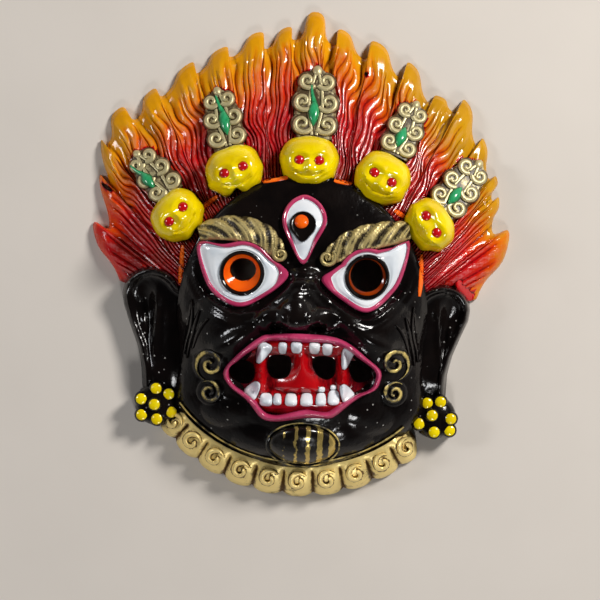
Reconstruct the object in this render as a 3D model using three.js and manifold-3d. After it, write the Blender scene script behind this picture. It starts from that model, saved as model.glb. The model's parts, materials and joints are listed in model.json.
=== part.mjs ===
// Cast-metal wall mask: a fierce guardian's face with bared fangs, a third eye, long ears with beaded
// earrings and a scrolled beard, under a crown of flames that carries five skulls and five scrolled leaves.
// It is one hollow casting, open behind, that lies on its flat back rim with the face up.
// Millimetres. +X is to the right and +Y towards the crown as one faces the mask, +Z comes out of the face.
// The origin is on the floor, under the middle of the outline.
import * as THREE from "three";
import { mergeVertices } from "three/addons/utils/BufferGeometryUtils.js";
import Module from "manifold-3d";

const wasm = await Module();
wasm.setup();

// Driving dimensions of the casting
const WALL = 3;
const EDGE = 4;
const LAND = 5;
const BELOW = 6; // how far the blocks run below the floor before they are trimmed to it
const ABOVE = 100; // top of the posts that pierce the mask
const FACE_CENTRE = [2.4, -43.6];
const FACE_RADII = [75, 89];
const JAW_EDGE_Z = 12;
const HAIRLINE_Z = 37;
const FACE_TOP_Z = 46;
const HAIRLINE_CENTRE = [1.7, -22.7];
const HAIRLINE_RADII = [72, 66];
const CROWN_ROOT_Z = 34;
const JAW_CENTRE = [2.8, -53.1];
const JAW_FLANGE = [84, 80, 7];

// Crown of flames: tongues from the left ear over the top to the right ear, with the notches between them
const FLAME_TIPS = [
  [-128, 9], [-125.6, 42], [-125.4, 61.7], [-116.3, 84.6], [-96.7, 96.6], [-74.1, 114], [-53.7, 124.8],
  [-31.3, 135.4], [-13.7, 139.1], [4.7, 149.3], [21.8, 138.6], [43.7, 131.6], [65.2, 118.9], [82.8, 99.8],
  [100.2, 96.1], [111.7, 72.1], [119.9, 49.6], [121.6, 36.2], [128, 10.2],
];
const FLAME_NOTCHES = [
  [-110.9, -20.6], [-118.6, 15.3], [-119, 36], [-121, 63.5], [-103.2, 79.8], [-86.8, 95], [-66.2, 109.6],
  [-45.3, 120.2], [-24.8, 125.4], [-7.4, 131.6], [15.2, 129.3], [33.6, 121.8], [57.4, 110], [75.1, 96.2],
  [90.8, 90.6], [105.3, 71.5], [113.5, 51.5], [116.5, 38.4], [117.5, 21.9], [109.5, -24.3],
];
const CROWN_ARC_DEG = [199, -19];
const CROWN_ROOT_SHARE = 0.86;
const FLUTES_PER_TONGUE = 2;
const FLUTE_DEPTH = 1.4;
const TONGUE_SWELL = 2.6;
const CROWN_ROWS = [0.08, 0.48, 0.86, 1];

// Skulls: centre, turn, width and height of each
const SKULLS = [
  { at: [-74.3, 19.3], turn: 49, size: [34, 30] },
  { at: [-41.2, 46.8], turn: 23, size: [36, 32] },
  { at: [3.3, 54], turn: 0, size: [37, 33] },
  { at: [47.2, 45.3], turn: -28, size: [35, 33] },
  { at: [76.7, 18.7], turn: -56, size: [34, 28] },
];
const SKULL_BASE_Z = 27;
const SKULL_DEPTH = 19;
const SKULL_EYE_GAP = 11.4;
const SKULL_EYE_RADIUS = 3.3;

// Scrolled leaves behind the skulls: root, tip and width of each
const LEAVES = [
  { root: [-80, 33.2], tip: [-102.8, 57.9], width: 22 },
  { root: [-45.6, 62.6], tip: [-54.6, 98.3], width: 23 },
  { root: [5.6, 70.9], tip: [6.6, 113.2], width: 27 },
  { root: [55, 61.9], tip: [67.8, 94.1], width: 22 },
  { root: [84.9, 29.4], tip: [107.8, 59.2], width: 24 },
];
const LEAF_PROUD = 3;
const LEAF_SCROLL_PAIRS = 3;
const LEAF_OUT = [0.3, 0.7];

// Face: each outline runs through the points that shape it
const LEFT_EYE = [
  [-60.2, 3.8], [-46, 2.6], [-33.4, 4.8], [-24.2, 2], [-16.8, -4.5], [-7, -14.2], [-19.6, -27.2],
  [-35.7, -33.7], [-52.2, -24.8], [-60.1, -7],
];
const RIGHT_EYE = [
  [13.4, -15.3], [26.5, -3], [37.3, 0.9], [46.3, 0.4], [55.3, 2.5], [64.8, 11], [62.8, -6.3], [52.8, -28.4],
  [38.5, -35.2], [20, -24.1],
];
const THIRD_EYE = [
  [1.5, 33.6], [-7.6, 28.6], [-11.4, 18], [-6.5, 5], [1.8, -7.6], [9, 5], [14.9, 18], [11, 28.6],
];
const THIRD_IRIS = [0.8, 15.8];
const LIPS = [
  [-43.2, -73], [-36.5, -63.6], [-22.7, -51.8], [-14.3, -49.2], [19.6, -49.6], [30.4, -53.4], [49.9, -69],
  [49.9, -76.1], [38.5, -85], [24.7, -96.1], [7.2, -98.1], [-15.3, -101], [-28.4, -89.4], [-39.3, -81.3],
];
const IRISES = [
  { at: [-34.1, -14], hole: [-33.5, -12.2], holeRadius: 7.4 },
  { at: [39.9, -13.9], hole: [39.5, -13], holeRadius: 9.3 },
];
const IRIS_RADIUS = 11;
const IRIS_RING = 2.2;
const BROWS = [
  [[-61, 8.5], [-49, 10.6], [-35, 12], [-24, 7], [-15.5, -0.5], [-10, -4]],
  [[15.5, -3.5], [20, 2.5], [28, 7], [38, 9], [50, 9.5], [63.5, 13.5]],
];
const BROW_HALF_WIDTH = 7;
const BROW_LOCKS = 5;
const MOUTH_HOLES = [
  { at: [-32, -70.2], size: [12.5, 16] },
  { at: [-10.5, -68.2], size: [15.2, 18] },
  { at: [16, -67.9], size: [15.2, 15.6] },
  { at: [38.1, -71], size: [14.6, 15] },
];
const TEETH = [
  { at: [-20, -60.9], size: [6.4, 12], lean: -24 }, { at: [-8.5, -57.1], size: [4.6, 7], lean: 0 },
  { at: [1, -56.4], size: [6.3, 6.4], lean: 0 }, { at: [10.1, -56.4], size: [6, 6.8], lean: 0 },
  { at: [17.7, -56.9], size: [6, 6.8], lean: 0 }, { at: [29, -62.7], size: [5.6, 11.5], lean: -12 },
  { at: [-25.2, -82.6], size: [7.4, 11], lean: -35 }, { at: [-17.2, -88], size: [7.2, 7.6], lean: 0 },
  { at: [-10.4, -87.9], size: [4.8, 6.8], lean: 0 }, { at: [-2.7, -87.5], size: [6.8, 7.2], lean: 0 },
  { at: [6.8, -87.4], size: [7, 7.2], lean: 0 }, { at: [15.1, -87.3], size: [5.8, 7.4], lean: 0 },
  { at: [22.6, -86.2], size: [6.8, 9], lean: 0 }, { at: [30.6, -83], size: [7.2, 11.5], lean: 30 },
];
const NOSTRILS = [[-9.9, -42.2], [14.2, -41.4]];
const CHEEKS = [[-41, -49], [45, -47]];
const CURLS = [
  { at: [-52.5, -66.8], radius: 9.2 }, { at: [-51.1, -83.3], radius: 6.8 },
  { at: [59.2, -62.9], radius: 9.2 }, { at: [59.1, -81.9], radius: 6.8 },
];
const CHIN = { at: [5.4, -114.1], radii: [20.5, 12.5] };

// Ears and earrings: half widths from the top of each ear to its lobe, and the beads of each cluster
const EARS = [
  { top: [-90, -13], lobe: [-85.5, -92], halfWidths: [20.5, 15.5, 10], cluster: [-85, -95.5], side: -1 },
  { top: [91, -19.5], lobe: [86, -90], halfWidths: [17, 11, 8], cluster: [85.5, -97.5], side: 1 },
];
const EAR_Z = [8, 22];
const EAR_SHARES = [1, 0.8, 0.5, 0, -1];
const CLUSTER_RADIUS = 12.5;
const BEAD_RADIUS = 4.4;
const BEADS_AROUND = 6;
const BEAD_RING = 9.4;

// Scrolled beard: a band between two ellipses about the jaw, in lobes
const BEARD_INNER = [90, 77.5];
const BEARD_OUTER = [105.6, 96.6];
const BEARD_ARC_DEG = [212, 318];
const BEARD_LOBES = 10;
const BEARD_Z = [22, 5.5];

// Small maths shared by the shapes
const mix = THREE.MathUtils.lerp;
const rad = THREE.MathUtils.degToRad;
const mixPoint = (a, b, t) => [mix(a[0], b[0], t), mix(a[1], b[1], t)];
const distance = (a, b) => Math.hypot(a[0] - b[0], a[1] - b[1]);
const swell = (p, at, rx, ry) => Math.max(0, 1 - ((p[0] - at[0]) / rx) ** 2 - ((p[1] - at[1]) / ry) ** 2);
const bell = (x) => Math.exp(-x * x);

// Eases from 0 at the first value to 1 at the second, whichever is the larger
function smooth(zero, one, x) {
  const t = THREE.MathUtils.clamp((x - zero) / (one - zero), 0, 1);
  return t * t * (3 - 2 * t);
}

function splinePoints(points, closed, count) {
  const line = new THREE.CatmullRomCurve3(points.map(([x, y]) => new THREE.Vector3(x, y, 0)), closed);
  return line.getPoints(count).map((p) => [p.x, p.y]);
}

// Closed solid from vertex and triangle lists
function solidOf(vertices, triangles) {
  const vertProperties = Float32Array.from(vertices.flat());
  const mesh = new wasm.Mesh({ numProp: 3, vertProperties, triVerts: Uint32Array.from(triangles.flat()) });
  mesh.merge();
  return new wasm.Manifold(mesh);
}

function solidOfGeometry(geometry) {
  geometry.deleteAttribute("normal");
  geometry.deleteAttribute("uv");
  const merged = mergeVertices(geometry, 1e-4);
  const vertProperties = Float32Array.from(merged.attributes.position.array);
  const triVerts = Uint32Array.from(merged.index.array);
  return new wasm.Manifold(new wasm.Mesh({ numProp: 3, vertProperties, triVerts }));
}

// Block under a curved patch, down past the floor: place(column, row) gives a point of its top
function patchBlock(columns, rows, place) {
  const top = [];
  for (let row = 0; row <= rows; row++) {
    for (let column = 0; column <= columns; column++) top.push(place(column, row));
  }
  const at = (column, row) => row * (columns + 1) + column;
  const triangles = [];
  for (let row = 0; row < rows; row++) {
    for (let column = 0; column < columns; column++) {
      const [a, b] = [at(column, row), at(column, row + 1)];
      triangles.push([a, b, b + 1], [a, b + 1, a + 1]);
    }
  }
  return closedBlock(top, triangles);
}

// Adds a flat foot and side walls under an open sheet of triangles, and turns the block right side out
function closedBlock(top, triangles) {
  const count = top.length;
  const vertices = [...top, ...top.map(([x, y]) => [x, y, -BELOW])];
  const edges = new Map();
  for (const [a, b, c] of triangles) {
    for (const [from, to] of [[a, b], [b, c], [c, a]]) {
      if (!edges.delete(`${to},${from}`)) edges.set(`${from},${to}`, [from, to]);
    }
  }
  const closed = triangles.flatMap(([a, b, c]) => [[a, b, c], [c + count, b + count, a + count]]);
  for (const [from, to] of edges.values()) {
    closed.push([to, from, from + count], [to, from + count, to + count]);
  }
  const [a, b, c] = triangles[0].map((i) => top[i]);
  const clockwise = (b[0] - a[0]) * (c[1] - a[1]) - (b[1] - a[1]) * (c[0] - a[0]) < 0;
  return solidOf(vertices, clockwise ? closed.map(([p, q, r]) => [r, q, p]) : closed);
}

// Solid ball squashed to radii, turned about Z and placed
function ball(at, radii, turn, around, rings) {
  const geometry = new THREE.SphereGeometry(1, around, rings).rotateX(Math.PI / 2);
  return solidOfGeometry(geometry.scale(...radii).rotateZ(rad(turn)).translate(...at));
}

// Upright elliptical post from below the floor to its top
function post([x, y], rx, ry, sides, top = ABOVE) {
  const geometry = new THREE.CylinderGeometry(1, 1, top + BELOW, sides).rotateX(Math.PI / 2);
  return solidOfGeometry(geometry.scale(rx, ry, 1).translate(x, y, (top - BELOW) / 2));
}

// Crown: a point of a tongue's edge. The flanks leave the notches along the tongue and round over at its tip.
function flameEdge(tongue, across) {
  const [from, to, tip] = [FLAME_NOTCHES[tongue], FLAME_NOTCHES[tongue + 1], FLAME_TIPS[tongue]];
  const root = mixPoint(from, to, 0.5);
  const length = distance(root, tip);
  const axis = [(tip[0] - root[0]) / length, (tip[1] - root[1]) / length];
  const near = across < 0.5 ? from : to;
  const t = 1 - Math.abs(across - 0.5) * 2;
  const flank = distance(near, tip) * 0.55;
  const shoulder = mixPoint(tip, [tip[0] + near[0] - root[0], tip[1] + near[1] - root[1]], 0.62);
  const curve = new THREE.CubicBezierCurve(
    new THREE.Vector2(...near),
    new THREE.Vector2(near[0] + axis[0] * flank, near[1] + axis[1] * flank),
    new THREE.Vector2(...shoulder),
    new THREE.Vector2(...tip),
  );
  return curve.getPoint(t).toArray();
}

function hairlinePoint(share, scale) {
  const angle = rad(mix(CROWN_ARC_DEG[0], CROWN_ARC_DEG[1], share));
  return [
    HAIRLINE_CENTRE[0] + HAIRLINE_RADII[0] * scale * Math.cos(angle),
    HAIRLINE_CENTRE[1] + HAIRLINE_RADII[1] * scale * Math.sin(angle),
  ];
}

const crownHeight = (out) => EDGE + (CROWN_ROOT_Z - EDGE) * (1 - out) ** 1.25;

function crownPoint(tongue, across, out, relief) {
  const share = (tongue + across) / FLAME_TIPS.length;
  const [x, y] = mixPoint(hairlinePoint(share, CROWN_ROOT_SHARE), flameEdge(tongue, across), out);
  const body = TONGUE_SWELL * Math.sin(Math.PI * across) * smooth(0.25, 0.85, out);
  const flute = FLUTE_DEPTH * -Math.cos(2 * Math.PI * FLUTES_PER_TONGUE * across) * smooth(0.05, 0.25, out);
  const rounded = Math.sqrt(1 - smooth(0.8, 1, out));
  return [x, y, crownHeight(out) + relief * rounded * (body + flute + 1.4)];
}

function crown() {
  const perTongue = 2 * FLUTES_PER_TONGUE;
  const columns = FLAME_TIPS.length * perTongue;
  return patchBlock(columns, CROWN_ROWS.length - 1, (column, row) => {
    const tongue = Math.min(Math.floor(column / perTongue), FLAME_TIPS.length - 1);
    return crownPoint(tongue, column / perTongue - tongue, CROWN_ROWS[row], 1);
  });
}

// The hollow behind the crown follows its form a wall's thickness below, inside the flat rim
function crownHollow() {
  const rows = [0, 0.35, 0.7, 0.89];
  return patchBlock(FLAME_TIPS.length - 2, rows.length - 1, (column, row) => {
    const [x, y, z] = crownPoint(column + 1, 0, rows[row], 0);
    return [x, y, z - WALL];
  });
}

// Skull: a domed head with a brow, sunk sockets round ball eyes, a nose and a jaw
function skull({ at, turn, size }) {
  const geometry = new THREE.SphereGeometry(1, 11, 6).rotateX(Math.PI / 2);
  const position = geometry.attributes.position;
  for (let i = 0; i < position.count; i++) {
    const [x, y, z] = [position.getX(i), position.getY(i), position.getZ(i)];
    const jaw = y < -0.25 ? 1 + (y + 0.25) * 0.35 : 1;
    const sockets = 0.16 * (bell((x - 0.32) / 0.2) + bell((x + 0.32) / 0.2)) * bell(y / 0.2);
    const nose = 0.1 * bell(x / 0.16) * bell((y + 0.3) / 0.18);
    position.setXYZ(
      i, (x * jaw * size[0]) / 2, (y * size[1]) / 2, z > 0.01 ? SKULL_DEPTH * (z - sockets + nose) : -6,
    );
  }
  const placed = geometry.rotateZ(rad(turn)).translate(at[0], at[1], SKULL_BASE_Z);
  const head = solidOfGeometry(placed);
  const eyes = [-0.5, 0.5].map((share) => {
    const along = share * SKULL_EYE_GAP;
    const place = [at[0] + along * Math.cos(rad(turn)), at[1] + along * Math.sin(rad(turn))];
    return ball([...place, SKULL_BASE_Z + SKULL_DEPTH * 0.85], Array(3).fill(SKULL_EYE_RADIUS), 0, 6, 3);
  });
  return [head, ...eyes];
}

// The back of each skull is hollowed too
function skullHollow({ at, turn, size }) {
  const inner = [size[0] / 2 - WALL * 1.6, size[1] / 2 - WALL * 1.6, SKULL_DEPTH - WALL * 1.9];
  return ball([...at, SKULL_BASE_Z], inner, turn, 7, 4);
}

// Leaf: a ridged plate that follows the crown, edged by pairs of round scrolls, with a gem on its middle line
function leaf({ root, tip, width }) {
  const length = distance(root, tip);
  const axis = [(tip[0] - root[0]) / length, (tip[1] - root[1]) / length];
  const on = (along, across) => [
    root[0] + axis[0] * length * along - axis[1] * across,
    root[1] + axis[1] * length * along + axis[0] * across,
  ];
  const halfWidth = (along) => 0.4 * width * (1 - 0.5 * smooth(0.5, 1, along));
  const ground = (along) => crownHeight(mix(LEAF_OUT[0], LEAF_OUT[1], along));
  const plate = patchBlock(2, 2, (column, row) => {
    const along = row / 2;
    const proud = column === 1 ? LEAF_PROUD + 1 : LEAF_PROUD - 1;
    return [...on(along, (column - 1) * halfWidth(along)), ground(along) + proud];
  });
  const scrolls = [];
  for (let pair = 0; pair < LEAF_SCROLL_PAIRS; pair++) {
    const along = (pair + 0.55) / LEAF_SCROLL_PAIRS;
    for (const sideways of [-1, 1]) {
      const across = sideways * halfWidth(along) * 0.72;
      scrolls.push(scroll([...on(along, across), ground(along) + LEAF_PROUD], width * 0.21, 5));
    }
  }
  const gemTurn = THREE.MathUtils.radToDeg(Math.atan2(axis[1], axis[0]));
  const gemRadii = [length * 0.19, width * 0.15, 4];
  const gem = ball([...on(0.42, 0), ground(0.42) + LEAF_PROUD], gemRadii, gemTurn, 6, 3);
  return [plate, ...scrolls, gem];
}

// Round scroll: a rolled-over lip round a sunk middle
function scroll(at, radius, sides) {
  const profile = [[0, -3], [radius, -3], [radius * 0.72, 2], [0, 0.4]];
  const points = profile.map(([r, z]) => new THREE.Vector2(r, z));
  return solidOfGeometry(new THREE.LatheGeometry(points, sides).rotateX(Math.PI / 2).translate(...at));
}

// Face: the broad masses, which the hollow behind also follows
function faceForm(p) {
  const rho = Math.hypot((p[0] - FACE_CENTRE[0]) / FACE_RADII[0], (p[1] - FACE_CENTRE[1]) / FACE_RADII[1]);
  const edge = mix(JAW_EDGE_Z, HAIRLINE_Z, smooth(-70, 5, p[1]));
  const dome = edge + (FACE_TOP_Z - edge) * Math.max(0, 1 - rho ** 2.4) ** 0.62;
  const noseWidth = mix(8, 15, smooth(-8, -38, p[1]));
  const nose = 13 * bell((p[0] - 1.6) / noseWidth) * smooth(2, -32, p[1]) * smooth(-53, -42, p[1]);
  const cheeks = CHEEKS.reduce((sum, at) => sum + 8 * swell(p, at, 28, 24), 0);
  const muzzle = 5 * swell(p, [3.3, -76], 58, 38);
  const browRidge = 4 * bell((p[1] - 9) / 13) * smooth(74, 48, Math.abs(p[0] - 2));
  return dome + Math.max(nose, cheeks, muzzle) + browRidge;
}

// Feature that lies on the face in rings, from its middle out to its outline, each point raised by so much
function ringBlock(rings, around, place) {
  const top = [];
  const triangles = [];
  for (let ring = 0; ring < rings; ring++) {
    for (let step = 0; step < around; step++) {
      const [x, y, rise] = place(step, ring);
      top.push([x, y, faceForm([x, y]) + rise]);
      if (ring === 0) continue;
      const next = (step + 1) % around;
      const [a, b] = [ring * around + step, ring * around + next];
      triangles.push([a, b, b - around], [a, b - around, a - around]);
    }
  }
  for (let step = 1; step + 1 < around; step++) triangles.push([0, step, step + 1]);
  return closedBlock(top, triangles);
}

// The face itself: close rings over the nose, wider ones out to the hairline and the jaw
function face() {
  const around = 28;
  const shares = [0.07, 0.15, 0.27, 0.44, 0.64, 0.82, 0.94, 1.012];
  const place = (step, ring) => [...facePoint((step + 0.5) / around, shares[ring]), 0];
  return ringBlock(shares.length, around, place);
}

// The hollow behind it follows the same form, drawn in by the wall's thickness
function faceHollow() {
  const around = 20;
  const shares = [0.2, 0.5, 0.78, 0.93];
  const steep = [0.8, 1.2, 2.2, 3];
  const place = (step, ring) => [...facePoint(step / around, shares[ring]), -WALL - steep[ring]];
  return ringBlock(shares.length, around, place);
}

function facePoint(turn, share) {
  const angle = 2 * Math.PI * turn;
  return [0, 1].map((i) => FACE_CENTRE[i] + FACE_RADII[i] * share * [Math.cos(angle), Math.sin(angle)][i]);
}

// Almond eye: a raised lid round a bulging ball, with a ring round the sunk iris
function eye(outline, { at }) {
  const around = 19;
  const line = splinePoints(outline, true, around);
  const rings = [
    { radius: IRIS_RADIUS - 1, rise: 0.5 }, { radius: IRIS_RADIUS, rise: 4.6 },
    { radius: IRIS_RADIUS + IRIS_RING, rise: 4.6 }, { share: 0.8, rise: 1.8 },
    { share: 0.9, rise: 3.2 }, { share: 1.03, rise: 2.6 },
  ];
  return ringBlock(rings.length, around, (step, ring) => {
    const edge = line[step];
    const reach = distance(edge, at);
    const start = IRIS_RADIUS + IRIS_RING;
    const { radius, share, rise } = rings[ring];
    const out = radius ?? mix(Math.min(start, reach - 2), reach, share);
    return [...mixPoint(at, edge, Math.min(out, share ? out : reach - 2) / reach), rise];
  });
}

// Third eye: a teardrop pad with a raised border and a round ball
function thirdEye() {
  const around = 18;
  const line = splinePoints(THIRD_EYE, true, around);
  const rings = [[0.24, 6], [0.55, 3], [0.8, 2.4], [0.87, 4], [1.02, 3.4]];
  return ringBlock(rings.length, around, (step, ring) => {
    const [share, rise] = rings[ring];
    return [...mixPoint(THIRD_IRIS, line[step], share), rise];
  });
}

// Lips: a rounded roll round the open mouth
function lips() {
  const around = 28;
  const line = splinePoints(LIPS, true, around);
  const middle = [3.3, -75];
  const rings = [[-5.4, 0.5], [-4.6, 5.4], [-2, 6.6], [0.4, 3.6]];
  return ringBlock(rings.length, around, (step, ring) => {
    const reach = distance(line[step], middle);
    return [...mixPoint(middle, line[step], (reach + rings[ring][0]) / reach), rings[ring][1]];
  });
}

// Brow: locks of hair leaning outwards along a bent line
function brow(points) {
  const line = splinePoints(points, false, BROW_LOCKS - 1);
  return line.map((at, i) => {
    const outer = Math.abs(at[0]) > 58 ? 0.7 : 1;
    const lean = at[0] < 0 ? 125 - 4 * i : 75 - 4 * (BROW_LOCKS - i);
    const radii = [BROW_HALF_WIDTH * 1.1 * outer, BROW_HALF_WIDTH * 0.68, 5];
    return ball([...at, faceForm(at)], radii, lean, 6, 4);
  });
}

function curl({ at, radius }) {
  return scroll([...at, faceForm(at) + 0.6], radius, 10);
}

function chin() {
  const rings = [[0.3, 9], [0.75, 7.5], [1.06, 2]];
  const around = 16;
  return ringBlock(rings.length, around, (step, ring) => {
    const angle = (2 * Math.PI * step) / around;
    const [share, rise] = rings[ring];
    const x = CHIN.at[0] + CHIN.radii[0] * share * Math.cos(angle);
    return [x, CHIN.at[1] + CHIN.radii[1] * share * Math.sin(angle), rise];
  });
}

// Nose: two round wings, hollowed by the nostrils
function noseWings() {
  return NOSTRILS.map((at) => ball([...at, faceForm(at) - 1], [11, 8.6, 7], 0, 8, 4));
}

function nostrilCuts() {
  return NOSTRILS.map((at) => ball([at[0], at[1] - 1.5, faceForm(at) + 5], [6.2, 5, 6], 0, 7, 4));
}

// Ear: a long tapering flap with a rolled rim round a sunk middle; it rises towards the cheek.
// Drawn in and dropped, the same form makes the hollow behind it.
function ear({ top, lobe, halfWidths, side }, shares, inset, drop) {
  const rows = 6;
  return patchBlock(shares.length - 1, rows, (column, row) => {
    const along = row / rows;
    const spread = along < 0.5
      ? mix(halfWidths[0], halfWidths[1], along * 2)
      : mix(halfWidths[1], halfWidths[2], along * 2 - 1);
    const halfWidth = spread * Math.sqrt(1 - (1 - Math.min(1, (along + 0.02) / 0.24)) ** 2);
    const offset = shares[column] * Math.max(halfWidth - inset, 1.2);
    const across = offset / halfWidth;
    const rolled = 3.5 * bell((across - 0.72) / 0.22) - 3 * bell((across - 0.1) / 0.4);
    const z = across === 1 ? EDGE : mix(EAR_Z[0], EAR_Z[1], (1 - across) / 2) + rolled;
    const [x, y] = mixPoint(top, lobe, along);
    return [x + side * offset, y, Math.max(z - drop, 1)];
  });
}

// Earring: a low round pad studded with beads, one in the middle and the rest in a ring
function earring({ cluster }) {
  const pad = ball([...cluster, 0], [CLUSTER_RADIUS, CLUSTER_RADIUS, 10], 0, 10, 4);
  const beads = [ball([...cluster, 9.5], Array(3).fill(BEAD_RADIUS), 0, 6, 3)];
  for (let i = 0; i < BEADS_AROUND; i++) {
    const angle = rad(30 + (360 / BEADS_AROUND) * i);
    const place = [cluster[0] + BEAD_RING * Math.cos(angle), cluster[1] + BEAD_RING * Math.sin(angle)];
    beads.push(ball([...place, 6.5], Array(3).fill(BEAD_RADIUS), 0, 6, 3));
  }
  return [pad, ...beads];
}

// Beard: a roll of scalloped lobes, each with a round scroll on it
function beardPoint(share, across, reach) {
  const angle = rad(mix(BEARD_ARC_DEG[0], BEARD_ARC_DEG[1], share));
  const radii = [0, 1].map((i) => mix(BEARD_INNER[i], BEARD_OUTER[i] - reach, across));
  return [JAW_CENTRE[0] + radii[0] * Math.cos(angle), JAW_CENTRE[1] + radii[1] * Math.sin(angle)];
}

function beard() {
  const perLobe = 3;
  const shares = [-0.6, 0.2, 0.7, 1];
  const band = patchBlock(BEARD_LOBES * perLobe, shares.length - 1, (column, row) => {
    const across = shares[row];
    const within = (column % perLobe) / perLobe;
    const scallop = 1 - Math.sin(Math.PI * within);
    const taper = 5 * smooth(0.9, 1, Math.abs((2 * column) / (BEARD_LOBES * perLobe) - 1));
    const reach = across > 0.6 ? 2.5 * scallop + taper : 0;
    const [x, y] = beardPoint(column / (BEARD_LOBES * perLobe), across, reach);
    const roll = 4 * Math.sin(Math.PI * Math.max(0, across)) * (1 - 0.6 * scallop);
    return [x, y, across === 1 ? EDGE : mix(BEARD_Z[0], BEARD_Z[1], across) + roll];
  });
  const scrolls = [];
  for (let lobe = 0; lobe < BEARD_LOBES; lobe++) {
    const at = beardPoint((lobe + 0.5) / BEARD_LOBES, 0.55, 0);
    scrolls.push(scroll([...at, mix(BEARD_Z[0], BEARD_Z[1], 0.55) + 3.5], 4.4, 5));
  }
  return [band, ...scrolls];
}

function beardHollow() {
  const columns = 14;
  return patchBlock(columns, 2, (column, row) => {
    const across = [-0.2, 0.25, 0.65][row];
    const [x, y] = beardPoint(0.04 + (0.92 * column) / columns, across, 0);
    return [x, y, mix(BEARD_Z[0], BEARD_Z[1], across) - WALL - 0.5];
  });
}

// Teeth: rounded stubs in two rows inside the lips, with a long fang at each end of a row
function teeth() {
  return TEETH.map(({ at, size, lean }) => {
    return ball([...at, faceForm(at) + 1], [size[0] * 0.56, size[1] * 0.56, 4.8], lean, 6, 3);
  });
}

// The casting: everything in front joined, trimmed flat at the floor, then hollowed and pierced
function casting() {
  const outside = [
    face(), post(JAW_CENTRE, JAW_FLANGE[0], JAW_FLANGE[1], 18, JAW_FLANGE[2]), ...noseWings(),
    eye(LEFT_EYE, IRISES[0]), eye(RIGHT_EYE, IRISES[1]), thirdEye(), lips(), chin(),
    ...BROWS.flatMap(brow), ...CURLS.map(curl), ...teeth(), ...EARS.map((one) => ear(one, EAR_SHARES, 0, 0)),
    ...EARS.flatMap(earring), ...beard(), crown(), ...SKULLS.flatMap(skull), ...LEAVES.flatMap(leaf),
  ].reduce((whole, piece) => whole.add(piece));
  const underFloor = solidOfGeometry(new THREE.BoxGeometry(400, 400, 40).translate(0, 0, -20));
  const hollows = [
    crownHollow(), faceHollow(), beardHollow(), ...SKULLS.map(skullHollow),
    ...EARS.map((one) => ear(one, [1, 0.2, -1], LAND, WALL + 1.5)),
  ];
  const holes = [
    ...nostrilCuts(),
    ...IRISES.map(({ hole, holeRadius }) => post(hole, holeRadius, holeRadius, 12)),
    ...MOUTH_HOLES.map(({ at, size }) => post(at, size[0] / 2, size[1] / 2, 8)),
  ];
  return [underFloor, ...hollows, ...holes].reduce((whole, piece) => whole.subtract(piece), outside);
}

function meshOf(name, solid, material) {
  const { vertProperties, triVerts } = solid.getMesh();
  const geometry = new THREE.BufferGeometry();
  geometry.setAttribute("position", new THREE.BufferAttribute(vertProperties, 3));
  geometry.setIndex(new THREE.BufferAttribute(triVerts, 1));
  geometry.computeVertexNormals();
  const mesh = new THREE.Mesh(geometry, material);
  mesh.name = name;
  return mesh;
}

const enamel = new THREE.MeshStandardMaterial({ color: 0x15110f, roughness: 0.3, metalness: 0.1 });
const mask = new THREE.Group();
mask.add(meshOf("mask", casting(), enamel));

export default mask;
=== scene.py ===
# %% [markdown]
# # A painted cast-metal wall mask
# The real thing is one thin metal casting: a fierce three-eyed face under a crown of flames, with five
# skulls, five scrolled leaves, long ears, beaded earrings and a scrolled beard. It was cast in sand, so
# nothing on its front is undercut, and then painted by hand with glossy enamel.
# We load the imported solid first. It fixes the size and the place of everything that follows.

# %% Load the frame
import json
import math

import bpy
import numpy as np
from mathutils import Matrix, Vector
from mathutils.bvhtree import BVHTree

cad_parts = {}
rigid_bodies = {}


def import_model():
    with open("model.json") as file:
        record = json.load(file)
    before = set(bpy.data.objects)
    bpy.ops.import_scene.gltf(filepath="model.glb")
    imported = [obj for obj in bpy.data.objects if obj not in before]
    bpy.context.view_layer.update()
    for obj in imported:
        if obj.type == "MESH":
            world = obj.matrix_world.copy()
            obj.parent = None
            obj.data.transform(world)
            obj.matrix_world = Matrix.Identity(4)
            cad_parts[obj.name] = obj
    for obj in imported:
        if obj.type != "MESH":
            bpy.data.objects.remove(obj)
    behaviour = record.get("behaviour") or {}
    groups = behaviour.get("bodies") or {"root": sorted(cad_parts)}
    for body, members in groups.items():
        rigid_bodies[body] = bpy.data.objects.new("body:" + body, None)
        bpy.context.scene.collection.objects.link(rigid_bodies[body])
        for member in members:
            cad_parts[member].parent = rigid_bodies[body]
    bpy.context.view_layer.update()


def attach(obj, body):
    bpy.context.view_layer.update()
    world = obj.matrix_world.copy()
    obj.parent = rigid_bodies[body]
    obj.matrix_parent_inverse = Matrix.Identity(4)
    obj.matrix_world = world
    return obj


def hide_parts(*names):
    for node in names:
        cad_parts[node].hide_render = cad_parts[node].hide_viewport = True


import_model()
bpy.ops.object.select_all(action="DESELECT")

# %% [markdown]
# ## Finishes
# Every surface of the mask is paint over metal, so the materials differ mainly in colour. What they share
# is made once as two node groups: brushed enamel, with its mottled colour, painted shade in its grooves,
# crests made paler as wear and painted highlight, and pale specks that are partly dust and partly painted
# glints; and rubbed gold, which only catches on the high places. Each casting block carries a `crest` value
# on its points, 0 in its grooves and 1 on its ridges, and the groups read that.

# %% Node helpers
def colour(red, green, blue):
    """A colour given in screen values, as the linear one that a shader wants."""
    screen = np.array([red, green, blue]) / 255
    linear = np.where(screen <= 0.04045, screen / 12.92, ((screen + 0.055) / 1.055) ** 2.4)
    return (*map(float, linear), 1.0)


def feed(tree, node, **sockets):
    """Gives sockets a value, or another node's output to link. They go by name, or by number as i0, i1."""
    for name, value in sockets.items():
        key = int(name[1:]) if name[1:].isdigit() else name.replace("_", " ")
        socket = node.inputs[key]
        if isinstance(value, bpy.types.NodeSocket):
            tree.links.new(value, socket)
        else:
            socket.default_value = value


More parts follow.
